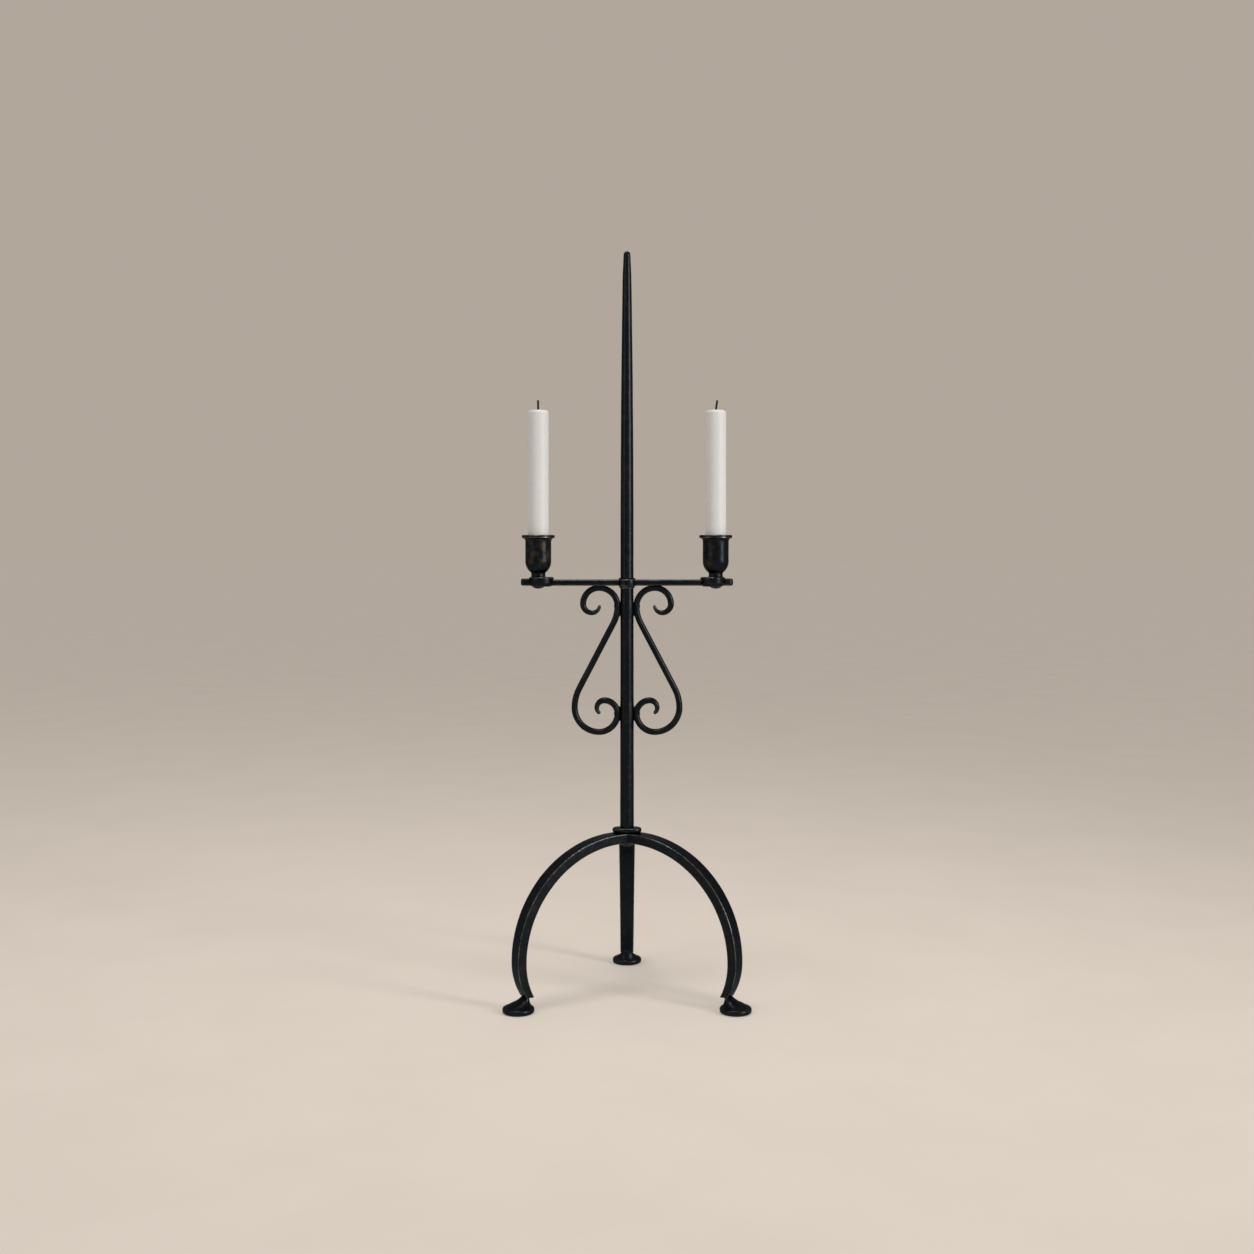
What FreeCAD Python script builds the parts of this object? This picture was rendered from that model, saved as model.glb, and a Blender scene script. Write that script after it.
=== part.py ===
"""Forged iron candlestick: a tripod, a spiked stem, a cross bar with two candles and two scrolls.

Millimetres, +Z up. The floor is Z = 0, the front faces -Y and the origin is the middle of the
footprint on the floor. The legs stand 120 degrees apart with one to the rear, so the stem stands
in front of the origin by a quarter of the feet's reach.
"""
import math
import os
from functools import partial

import FreeCAD
import Part
import Sketcher

Vector = FreeCAD.Vector

# Driving dimensions in millimetres and degrees: name, value, what it measures.
SIZES = (
    ("stem_height", 788.0, "floor to the tip of the spike"),
    ("stem_foot_diameter", 14.8, "stem at its shoulder on the hub"),
    ("stem_bar_diameter", 14.0, "stem in the eye of the cross bar"),
    ("spike_parallel", 44.0, "parallel stem between the cross bar and the taper"),
    ("spike_shoulder_diameter", 9.6, "spike where its blunt end starts"),
    ("spike_shoulder_drop", 24.0, "tip to the start of the blunt end"),
    ("nose_diameter", 7.4, "round nose of the spike"),
    ("tenon_diameter", 9.0, "tenon of the stem through the hub"),
    ("peen_diameter", 13.0, "riveted end of the tenon"),
    ("peen_height", 3.5, "riveted end of the tenon"),
    ("collar_length", 31.0, "oblong collar on the leg ends, side to side"),
    ("collar_depth", 17.6, "oblong collar, front to back"),
    ("collar_thickness", 5.2, "oblong collar, up and down"),
    ("collar_edge", 2.0, "rounding of the collar"),
    ("rove_diameter", 17.0, "washer under the leg ends"),
    ("rove_thickness", 2.0, "washer under the leg ends"),
    ("leg_width_hub", 18.4, "leg across its flat at the hub"),
    ("leg_width_ankle", 15.2, "leg across its flat at the ankle"),
    ("leg_thickness", 10.2, "leg through its flat"),
    ("leg_run", 10.0, "stem axis to the start of the bend"),
    ("leg_bend_radius", 122.2, "main bend, outer face"),
    ("ankle_bend_radius", 66.0, "inward bend above the foot, outer face"),
    ("ankle_inner_radius", 75.0, "inward bend above the foot, inner face"),
    ("ankle_turn", 32.0, "angle of the inward bend"),
    ("ankle_height", 15.3, "floor to the leg's level cut end"),
    ("leg_edge", 1.0, "rounding of the leg's long edges"),
    ("foot_diameter", 32.8, "round foot"),
    ("foot_thickness", 6.3, "round foot at its rim"),
    ("foot_crown", 1.4, "rise of the foot's top towards its middle"),
    ("foot_edge", 2.6, "rounding of the foot's rim"),
    ("foot_offset", 5.7, "outer face of the leg's cut end to the middle of the foot"),
    ("foot_flare_diameter", 26.6, "neck where it runs out on the foot"),
    ("foot_flare_shift", 0.5, "middle of the foot back to the middle of that run-out"),
    ("neck_thickness", 5.4, "neck of the foot at the leg, in the leg's plane"),
    ("neck_width", 13.4, "neck of the foot at the leg, across the leg"),
    ("neck_swell_thickness", 14.0, "neck where it swells out, in the leg's plane"),
    ("neck_swell_width", 16.0, "neck where it swells out, across the leg"),
    ("neck_swell_shift", 5.0, "middle of the foot back to the middle of that swelling"),
    ("neck_swell_height", 11.0, "floor to that swelling"),
    ("foot_tenon_diameter", 3.2, "tenon of the foot in the leg"),
    ("foot_tenon_length", 8.0, "tenon of the foot in the leg"),
    ("bar_height", 437.3, "floor to the middle of the cross bar"),
    ("bar_thickness", 6.6, "cross bar, up and down"),
    ("bar_depth", 9.0, "cross bar, front to back"),
    ("bar_edge", 2.0, "rounding of the cross bar"),
    ("bar_tongue", 18.5, "axis of each candle to the end of the cross bar"),
    ("tongue_length", 28.5, "thicker end of the cross bar, from inside the boss to its tip"),
    ("tongue_rise", 1.1, "top of the cross bar up to the top of its thicker ends"),
    ("eye_diameter", 19.6, "eye of the cross bar"),
    ("eye_thickness", 7.6, "eye of the cross bar, up and down"),
    ("eye_edge", 1.4, "rounding of the eye"),
    ("boss_diameter", 26.4, "round boss of the cross bar below each candle cup"),
    ("boss_rise", 6.0, "middle of the cross bar to the top of the boss"),
    ("boss_drop", 4.3, "middle of the cross bar to the underside of the boss"),
    ("boss_edge", 1.4, "rounding of the boss's top"),
    ("boss_slope", 4.6, "edge of the boss to the flat of its underside"),
    ("boss_keel", 1.0, "middle of the cross bar down to the start of that slope"),
    ("boss_shift", 3.2, "axis of the candle to the middle of the boss, towards the stem"),
    ("socket_reach", 94.0, "stem axis to the axis of each candle"),
    ("socket_height", 44.5, "boss to the rim of the candle cup"),
    ("socket_base_diameter", 17.0, "foot of the candle cup"),
    ("socket_neck_diameter", 15.2, "neck of the candle cup"),
    ("socket_neck_height", 4.5, "boss to the start of the cup's bowl"),
    ("socket_bowl_height", 12.0, "curved part of the cup above its neck"),
    ("socket_wall_diameter", 27.6, "straight part of the cup"),
    ("socket_rim_diameter", 35.0, "rim of the cup"),
    ("socket_rim_height", 3.2, "upright band of the rim"),
    ("socket_rim_edge", 1.0, "rounding of the rim's top"),
    ("socket_bore_depth", 26.0, "rim to the floor of the cup"),
    ("rivet_head_diameter", 12.0, "cup rivet's head"),
    ("rivet_head_height", 2.2, "cup rivet's head"),
    ("rivet_head_band", 0.5, "upright edge of the cup rivet's head"),
    ("rivet_shank_diameter", 6.0, "cup rivet's shank"),
    ("rivet_sink_diameter", 10.0, "cup rivet's end, sunk in the floor of the cup"),
    ("rivet_sink_depth", 2.0, "cup rivet's end, sunk in the floor of the cup"),
    ("rod_diameter", 6.7, "scroll rod"),
    ("scroll_land", 1.1, "depth of the flat that seats the scroll under the cross bar"),
    ("scroll_bite", 0.3, "depth to which the rod is let in round the stem"),
    ("scroll_slant", 27.6, "straight run of the scroll, from upright"),
    ("crown_radius", 19.5, "upper curl, from the stem to its top"),
    ("crown_outer_radius", 17.0, "upper curl, from its top outwards"),
    ("crown_inner_radius", 9.5, "upper curl, its underside"),
    ("crown_tip_radius", 8.0, "upper curl, its end"),
    ("crown_tip_turn", 80.0, "upper curl, angle of its end"),
    ("crown_waist_diameter", 5.4, "rod at the start of the upper end"),
    ("crown_tip_diameter", 3.4, "rod at the upper tip"),
    ("shoulder_radius", 39.0, "bend from the stem into the straight run"),
    ("hip_radius", 43.5, "bend from the straight run into the lower curl"),
    ("belly_radius", 26.0, "lower curl, from its outside to its bottom"),
    ("heel_radius", 19.5, "lower curl, from its bottom to the stem"),
    ("curl_radius", 14.0, "lower curl, from the stem to its top"),
    ("curl_inner_radius", 8.0, "lower curl, over its top"),
    ("curl_tip_radius", 6.5, "lower curl, its end"),
    ("curl_tip_turn", 48.0, "lower curl, angle of its end"),
    ("curl_waist_diameter", 5.2, "rod at the start of the lower end"),
    ("curl_tip_diameter", 4.1, "rod at the lower tip"),
    ("seat_height", 15.0, "seat of the scroll on the stem"),
    ("seat_diameter", 5.2, "seat of the scroll on the stem"),
    ("seat_drop", 3.0, "middle of the upper seat below its rivet"),
    ("pin_diameter", 3.2, "scroll rivet's shank"),
    ("pin_head_diameter", 5.4, "scroll rivet's head"),
    ("pin_head_height", 1.0, "scroll rivet's head"),
    ("pin_spot_depth", 0.5, "flat on the rod under the scroll rivet's head"),
    ("candle_diameter", 22.0, "candle"),
    ("candle_length", 158.0, "candle without its wick"),
    ("candle_shoulder", 3.2, "rounding of the candle's top"),
    ("wick_diameter", 2.4, "wick"),
    ("wick_exposed", 10.6, "wick above the candle"),
    ("wick_lean_left", 1.5, "lean of the left wick"),
    ("wick_lean_right", 8.0, "lean of the right wick"),
    ("candle_play", 0.3, "gap all round between candle and cup"),
    ("fit", 0.1, "gap all round a rivet, tenon or wick in its hole, and the eye on the stem"),
)
QUARTER = 90.0
HALF_TURN = 2 * QUARTER
THIRD_TURN = 2 * HALF_TURN / 3
MITRE_ANGLE = THIRD_TURN / 2
LEG_ANGLES = {"front_left": QUARTER + THIRD_TURN, "front_right": QUARTER - THIRD_TURN, "rear": QUARTER}
SIDES = {"left": -1, "right": 1}
# How near two heights or two parts of a direction are to be the same.
TOUCH = 1e-4

# Places worked out from the driving dimensions, as expressions of the sheet.
ANKLE_DROP = "(sizes.ankle_bend_radius * sin(sizes.ankle_turn))"
BEND_LEVEL = f"(sizes.ankle_height + {ANKLE_DROP})"
BEND_REACH = "(sizes.leg_run + sizes.leg_bend_radius)"
LEG_END_OUT = f"({BEND_REACH} - sizes.ankle_bend_radius * (1 - cos(sizes.ankle_turn)))"
LEG_END_IN = (
    f"({BEND_REACH} - sizes.leg_thickness - sizes.ankle_inner_radius"
    f" + sqrt(sizes.ankle_inner_radius ^ 2 - {ANKLE_DROP} ^ 2))"
)
FOOT_REACH = f"({LEG_END_OUT} + sizes.foot_offset)"
STEM_Y = f"(-{FOOT_REACH} / 4)"
HUB_TOP = f"({BEND_LEVEL} + sizes.leg_bend_radius)"
HUB_UNDER = f"({HUB_TOP} - sizes.leg_thickness)"
ROVE_UNDER = f"({HUB_UNDER} - sizes.rove_thickness)"
COLLAR_TOP = f"({HUB_TOP} + sizes.collar_thickness)"
TENON_HOLE = "(sizes.tenon_diameter / 2 + sizes.fit)"
NECK_REACH = f"({LEG_END_OUT} - sizes.neck_thickness / 2)"
FOOT_TENON_HOLE = "(sizes.foot_tenon_diameter / 2 + sizes.fit)"
FOOT_TENON_REACH = (
    f"({LEG_END_OUT} - sizes.neck_thickness + {FOOT_TENON_HOLE} / cos(sizes.ankle_turn))"
)
BAR_UNDER = "(sizes.bar_height - sizes.bar_thickness / 2)"
EYE_UNDER = "(sizes.bar_height - sizes.eye_thickness / 2)"
BOSS_UNDER = "(sizes.bar_height - sizes.boss_drop)"
BOSS_TOP = "(sizes.bar_height + sizes.boss_rise)"
SPIKE_START = "(sizes.bar_height + sizes.eye_thickness / 2 + sizes.spike_parallel)"
SPIKE_SHOULDER = "(sizes.stem_height - sizes.spike_shoulder_drop)"
RIM_TOP = f"({BOSS_TOP} + sizes.socket_height)"
CUP_FLOOR = f"({RIM_TOP} - sizes.socket_bore_depth)"
CANDLE_TOP = f"({CUP_FLOOR} + sizes.candle_length)"
RIVET_HOLE = "(sizes.rivet_shank_diameter / 2 + sizes.fit)"
WICK_HOLE = "(sizes.wick_diameter / 2 + sizes.fit)"

# The scroll's path: its top lies flat under the cross bar and its two sides lie on the stem.
ROD_REACH = "(sizes.stem_bar_diameter / 2 + sizes.rod_diameter / 2 - sizes.scroll_bite)"
CROWN_TOP = f"({BAR_UNDER} + sizes.scroll_land - sizes.rod_diameter / 2)"
UPPER_SEAT = f"({CROWN_TOP} - sizes.crown_radius)"
SLANT_BENDS = "(sizes.shoulder_radius + sizes.hip_radius)"
SLANT_RUN = (
    f"((sizes.belly_radius + sizes.heel_radius - {SLANT_BENDS} * (1 - cos(sizes.scroll_slant)))"
    " / sin(sizes.scroll_slant))"
)
LOWER_SEAT = (
    f"({UPPER_SEAT} - {SLANT_BENDS} * sin(sizes.scroll_slant) - {SLANT_RUN} * cos(sizes.scroll_slant)"
    " - sizes.belly_radius + sizes.heel_radius)"
)
PIN_SPOT = f"({ROD_REACH} + sizes.rod_diameter / 2 - sizes.pin_spot_depth)"

doc = FreeCAD.newDocument("candlestick")
sheet = doc.addObject("Spreadsheet::Sheet", "sizes")
for row, (alias, size, meaning) in enumerate(SIZES, start=1):
    sheet.set(f"A{row}", alias)
    sheet.set(f"B{row}", str(size))
    sheet.set(f"C{row}", meaning)
    sheet.setAlias(f"B{row}", alias)
doc.recompute()


def value(expression):
    """Works out an expression of the sheet as a plain number."""
    result = sheet.evalExpression(expression)
    return float(getattr(result, "Value", result))


def dome_radius(half_width, rise):
    """Radius of the arc that rises over a half width, as an expression."""
    return f"((({half_width}) ^ 2 + ({rise}) ^ 2) / (2 * ({rise})))"


def place(item, turn=0.0, **base):
    """Turns a sub-part about the upright axis and binds the coordinates of its place to the sheet."""
    item.Placement = FreeCAD.Placement(Vector(), FreeCAD.Rotation(Vector(0, 0, 1), turn))
    for axis, expression in base.items():
        item.setExpression(f"Placement.Base.{axis}", expression)


def tilt(item, prefix, angle, reach=None, height=None):
    """Binds an item's tilt in the upright plane X-Z, and where asked its place there, to the sheet."""
    about_y = FreeCAD.Rotation(Vector(0, 1, 0), HALF_TURN)
    setattr(item, prefix, FreeCAD.Placement(Vector(), about_y))
    item.setExpression(f"{prefix}.Rotation.Angle", angle)
    for axis, expression in (("x", reach), ("z", height)):
        if expression is not None:
            item.setExpression(f"{prefix}.Base.{axis}", expression)


def new_body(label, turn=0.0, **base):
    """Starts a body at its place in the candlestick."""
    body = doc.addObject("PartDesign::Body", label)
    body.Label = label
    place(body, turn, **base)
    return body


def new_sketch(body, name, plane):
    """Adds an empty sketch on one of a body's own origin planes."""
    sketch = body.newObject("Sketcher::SketchObject", name)
    support = next(item for item in body.Origin.OriginFeatures if item.Role == plane)
    sketch.AttachmentSupport = [(support, "")]
    sketch.MapMode = "FlatFace"
    return sketch


def bind(sketch, kind, places, expression):
    """Adds a dimension to a sketch and ties it to the sheet."""
    index = sketch.addConstraint(Sketcher.Constraint(kind, *places, value(expression)))
    sketch.setExpression(f"Constraints[{index}]", expression)


def bind_point(sketch, point, across, up):
    """Ties a point of a sketch to a pair of coordinates."""
    origin = (-1, 1)
    bind(sketch, "DistanceX", (*origin, *point), across)
    bind(sketch, "DistanceY", (*origin, *point), up)


def arc_middle(start, end, radius, side):
    """Middle of the arc between two points; side 1 bulges left of the way from start to end."""
    chord = end - start
    half = chord.Length / 2
    bulge = radius - math.sqrt(max(radius**2 - half**2, 0.0))
    left = Vector(-chord.y, chord.x, 0).normalize()
    return (start + end) / 2 + left * side * bulge


def draw(sketch, corners, arcs=None):
    """Draws a closed outline through corners, each a pair of expressions.

    arcs holds, for the number of a stretch, the arc's radius and the side it bulges to: 1 for
    left of the way round, -1 for right. The other stretches are straight.
    """
    arcs = arcs or {}
    points = [Vector(value(across), value(up), 0) for across, up in corners]
    starts = []
    ends = []
    for number, start in enumerate(points):
        end = points[(number + 1) % len(points)]
        if number in arcs:
            radius, side = arcs[number]
            middle = arc_middle(start, end, value(radius), side)
            stretch = sketch.addGeometry(Part.Arc(start, middle, end), False)
            bind(sketch, "Radius", (stretch,), radius)
            # A sketch keeps its arcs anticlockwise, so one that bulges left runs backwards.
            starts.append((stretch, 1 if side < 0 else 2))
            ends.append((stretch, 2 if side < 0 else 1))
        else:
            stretch = sketch.addGeometry(Part.LineSegment(start, end), False)
            starts.append((stretch, 1))
            ends.append((stretch, 2))
    for number, (across, up) in enumerate(corners):
        sketch.addConstraint(Sketcher.Constraint("Coincident", *ends[number - 1], *starts[number]))
        bind_point(sketch, starts[number], across, up)


def draw_circle(sketch, across, up, radius):
    """Draws a circle whose middle and radius are tied to the sheet."""
    middle = Vector(value(across), value(up), 0)
    circle = sketch.addGeometry(Part.Circle(middle, Vector(0, 0, 1), value(radius)), False)
    bind_point(sketch, (circle, 3), across, up)
    bind(sketch, "Radius", (circle,), radius)


def draw_oblong(sketch, length, depth):
    """Draws an oblong with half-round ends about the middle of a sketch."""
    half = f"({depth} / 2)"
    tip = f"({length} / 2)"
    bend = f"({tip} - {half})"
    corners = [
        (bend, f"-{half}"),
        (tip, "0"),
        (bend, half),
        (f"-{bend}", half),
        (f"-{tip}", "0"),
        (f"-{bend}", f"-{half}"),
    ]
    draw(sketch, corners, {stretch: (half, -1) for stretch in (0, 1, 3, 4)})


def revolve(body, name, corners, arcs=None, axis="V_Axis", across=None):
    """Turns an outline in the upright plane into a solid round one of the sketch's axes.

    across moves the sketch, with its axes, sideways in that plane.
    """
    sketch = new_sketch(body, f"{name}_outline", "XZ_Plane")
    if across is not None:
        sketch.setExpression("AttachmentOffset.Base.x", across)
    draw(sketch, corners, arcs)
    feature = body.newObject("PartDesign::Revolution", name)
    feature.Profile = sketch
    feature.ReferenceAxis = (sketch, [axis])
    return feature


def pad(body, name, sketch, length):
    """Thickens a sketch by the same amount to both sides."""
    feature = body.newObject("PartDesign::Pad", name)
    feature.Profile = sketch
    feature.SideType = "Symmetric"
    feature.setExpression("Length", length)
    return feature


def cut_through(body, name, sketch):
    """Cuts a sketch through the whole body, to both sides."""
    feature = body.newObject("PartDesign::Pocket", name)
    feature.Profile = sketch
    feature.SideType = "Symmetric"
    feature.Type = "ThroughAll"
    return feature


def round_edges(body, name, base, wanted, radius):
    """Rounds those edges of a feature that the test accepts."""
    doc.recompute()
    chosen = [f"Edge{i}" for i, edge in enumerate(base.Shape.Edges, start=1) if wanted(edge)]
    feature = body.newObject("PartDesign::Fillet", name)
    feature.Base = (base, chosen)
    feature.setExpression("Radius", radius)
    return feature


def is_level(edge, height):
    """Says whether an edge lies in the plane at a height."""
    return abs(edge.BoundBox.ZMin - height) < TOUCH and abs(edge.BoundBox.ZMax - height) < TOUCH


def is_rim_of(thickness):
    """Makes the test for the rims of a pad that is thickened to both sides."""
    def test(edge):
        return any(is_level(edge, side * value(f"{thickness} / 2")) for side in SIDES.values())

    return test


def make_stem():
    """The stem: riveted tenon, shoulder, slight taper to the bar, spike with a round nose."""
    body = new_body("stem", y=STEM_Y)
    corners = [
        ("0", f"{ROVE_UNDER} - sizes.peen_height"),
        ("sizes.peen_diameter / 2", ROVE_UNDER),
        ("sizes.tenon_diameter / 2", ROVE_UNDER),
        ("sizes.tenon_diameter / 2", COLLAR_TOP),
        ("sizes.stem_foot_diameter / 2", COLLAR_TOP),
        ("sizes.stem_bar_diameter / 2", EYE_UNDER),
        ("sizes.stem_bar_diameter / 2", SPIKE_START),
        ("sizes.spike_shoulder_diameter / 2", SPIKE_SHOULDER),
        ("sizes.nose_diameter / 2", "sizes.stem_height - sizes.nose_diameter / 2"),
        ("0", "sizes.stem_height"),
    ]
    taper = "(sizes.stem_bar_diameter - sizes.spike_shoulder_diameter) / 2"
    arcs = {
        0: (dome_radius("sizes.peen_diameter / 2", "sizes.peen_height"), -1),
        6: (dome_radius(f"{SPIKE_SHOULDER} - {SPIKE_START}", taper), -1),
        8: ("sizes.nose_diameter / 2", -1),
    }
    revolve(body, "stem_bar", corners, arcs)
    holes = new_sketch(body, "scroll_rivet_circles", "YZ_Plane")
    for height in (UPPER_SEAT, LOWER_SEAT):
        draw_circle(holes, "0", height, "sizes.pin_diameter / 2 + sizes.fit")
    cut_through(body, "scroll_rivet_holes", holes)
    return body


def make_collar():
    """The oblong collar between the stem's shoulder and the leg ends."""
    body = new_body("hub_collar", y=STEM_Y, z=f"{HUB_TOP} + sizes.collar_thickness / 2")
    plan = new_sketch(body, "collar_plan", "XY_Plane")
    draw_oblong(plan, "sizes.collar_length", "sizes.collar_depth")
    plate = pad(body, "collar", plan, "sizes.collar_thickness")
    round_edges(body, "softened_collar", plate, is_rim_of("sizes.collar_thickness"), "sizes.collar_edge")
    hole = new_sketch(body, "collar_hole_circle", "XY_Plane")
    draw_circle(hole, "0", "0", TENON_HOLE)
    cut_through(body, "collar_hole", hole)
    return body


def make_rove():
    """The washer that the stem's tenon is riveted over."""
    body = new_body("hub_rove", y=STEM_Y)
    corners = [
        (TENON_HOLE, ROVE_UNDER),
        ("sizes.rove_diameter / 2", ROVE_UNDER),
        ("sizes.rove_diameter / 2", HUB_UNDER),
        (TENON_HOLE, HUB_UNDER),
    ]
    revolve(body, "rove_ring", corners)
    return body


def leg_outline():
    """Side view of a leg: a short level run, the main bend, the thinning ankle and its level end."""
    thickness = "sizes.leg_thickness"
    corners = [
        ("0", HUB_UNDER),
        ("sizes.leg_run", HUB_UNDER),
        (f"{BEND_REACH} - {thickness}", BEND_LEVEL),
        (LEG_END_IN, "sizes.ankle_height"),
        (LEG_END_OUT, "sizes.ankle_height"),
        (BEND_REACH, BEND_LEVEL),
        ("sizes.leg_run", HUB_TOP),
        ("0", HUB_TOP),
    ]
    arcs = {
        1: (f"sizes.leg_bend_radius - {thickness}", 1),
        2: ("sizes.ankle_inner_radius", 1),
        4: ("sizes.ankle_bend_radius", -1),
        5: ("sizes.leg_bend_radius", -1),
    }
    return corners, arcs


def is_long_leg_edge(shape):
    """Makes the test for the four long edges of a leg, between its flats and its bent faces."""
    def test(edge):
        flat = False
        bent_or_level = False
        for face in shape.ancestorsOfType(edge, Part.Face):
            normal = face.normalAt(0, 0)
            plane = isinstance(face.Surface, Part.Plane)
            if plane and abs(normal.x) < TOUCH and abs(normal.y) > abs(normal.z):
                flat = True
            above_bend = face.BoundBox.ZMin > value(BEND_LEVEL)
            if not plane or (above_bend and abs(normal.x) + abs(normal.y) < TOUCH):
                bent_or_level = True
        return flat and bent_or_level

    return test


def on_tenon_axis(below):
    """Reach and height of the point on the slanting axis of a foot's tenon, below the leg's end."""
    reach = f"{FOOT_TENON_REACH} - {below} * sin(sizes.ankle_turn)"
    height = f"sizes.ankle_height - {below} * cos(sizes.ankle_turn)"
    return reach, height


def make_leg(name, turn):
    """A leg: bent flat bar, narrower at the ankle, mitred at the hub, drilled for the foot's tenon."""
    body = new_body(f"leg_{name}", turn, y=STEM_Y)
    side = new_sketch(body, "leg_side", "XZ_Plane")
    draw(side, *leg_outline())
    pad(body, "leg_bar", side, "sizes.leg_width_hub")

    front = new_sketch(body, "leg_taper", "YZ_Plane")
    half = "sizes.leg_width_hub / 2"
    slope = f"((sizes.leg_width_hub - sizes.leg_width_ankle) / 2 / ({HUB_TOP} - sizes.ankle_height))"
    floor_half = f"({half} - {slope} * {HUB_TOP})"
    draw(front, [(half, HUB_TOP), (floor_half, "0"), ("sizes.leg_width_hub", "0")])
    draw(front, [(f"-{half}", HUB_TOP), ("-sizes.leg_width_hub", "0"), (f"-{floor_half}", "0")])
    cut_through(body, "leg_narrowing", front)

    plan = new_sketch(body, "mitre_corners", "XY_Plane")
    reach = f"sizes.leg_width_hub / tan({MITRE_ANGLE})"
    draw(plan, [("0", "0"), (reach, "sizes.leg_width_hub"), ("0", "sizes.leg_width_hub")])
    draw(plan, [("0", "0"), ("0", "-sizes.leg_width_hub"), (reach, "-sizes.leg_width_hub")])
    mitre = cut_through(body, "mitre", plan)

    doc.recompute()
    rounded = round_edges(body, "softened_edges", mitre, is_long_leg_edge(mitre.Shape), "sizes.leg_edge")

    axis_hole = new_sketch(body, "tenon_circle", "XY_Plane")
    draw_circle(axis_hole, "0", "0", TENON_HOLE)
    cut_through(body, "tenon_hole", axis_hole)

    end_hole = new_sketch(body, "foot_tenon_circle", "XY_Plane")
    facing_out = f"{HALF_TURN} + sizes.ankle_turn"
    clear = "sizes.foot_tenon_diameter"
    tilt(end_hole, "AttachmentOffset", facing_out, *on_tenon_axis(clear))
    draw_circle(end_hole, "0", "0", FOOT_TENON_HOLE)
    socket = body.newObject("PartDesign::Pocket", "foot_tenon_hole")
    socket.Profile = end_hole
    socket.setExpression("Length", f"{clear} + sizes.foot_tenon_length + sizes.fit")
    doc.recompute()
    if socket.Shape.Volume >= rounded.Shape.Volume:
        raise RuntimeError("the leg's holes cut nothing")
    return body


def neck_section(kind, name, reach, height):
    """A level section of the foot's neck, with its longer side across the leg."""
    section = doc.addObject(kind, name)
    place(section, QUARTER, x=reach, z=height)
    return section


def make_foot(name, turn):
    """A round foot with a crowned top, a flat neck that runs out on it, and a tenon for the leg."""
    disc = new_body(f"foot_disc_{name}", x=FOOT_REACH)
    radius = "sizes.foot_diameter / 2"
    inset = f"{radius} - sizes.foot_edge"
    corners = [
        ("0", "0"),
        (inset, "0"),
        (radius, "sizes.foot_edge"),
        (radius, "sizes.foot_thickness - sizes.foot_edge"),
        (inset, "sizes.foot_thickness"),
        ("0", "sizes.foot_thickness + sizes.foot_crown"),
    ]
    arcs = {
        1: ("sizes.foot_edge", -1),
        3: ("sizes.foot_edge", -1),
        4: (dome_radius(inset, "sizes.foot_crown"), -1),
    }
    revolve(disc, "disc", corners, arcs)

    root = neck_section("Part::Ellipse", f"neck_root_{name}", NECK_REACH, "sizes.ankle_height")
    swell_reach = f"{FOOT_REACH} - sizes.neck_swell_shift"
    swell = neck_section("Part::Ellipse", f"neck_swell_{name}", swell_reach, "sizes.neck_swell_height")
    flare_reach = f"{FOOT_REACH} - sizes.foot_flare_shift"
    flare = neck_section("Part::Circle", f"neck_flare_{name}", flare_reach, "sizes.foot_thickness")
    flare.setExpression("Radius", "sizes.foot_flare_diameter / 2")
    for section, prefix in ((root, "neck"), (swell, "neck_swell")):
        section.setExpression("MajorRadius", f"sizes.{prefix}_width / 2")
        section.setExpression("MinorRadius", f"sizes.{prefix}_thickness / 2")
    neck = doc.addObject("Part::Loft", f"neck_{name}")
    neck.Sections = [root, swell, flare]
    neck.Solid = True

    tenon = doc.addObject("Part::Cylinder", f"foot_tenon_{name}")
    sunk = "(sizes.foot_tenon_diameter / 2 * tan(sizes.ankle_turn))"
    tilt(tenon, "Placement", "sizes.ankle_turn", *on_tenon_axis(sunk))
    tenon.setExpression("Radius", "sizes.foot_tenon_diameter / 2")
    tenon.setExpression("Height", f"sizes.foot_tenon_length + {sunk}")

    foot = doc.addObject("Part::MultiFuse", f"foot_{name}")
    foot.Label = f"foot_{name}"
    foot.Shapes = [disc, neck, tenon]
    place(foot, turn, y=STEM_Y)
    return foot


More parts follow.
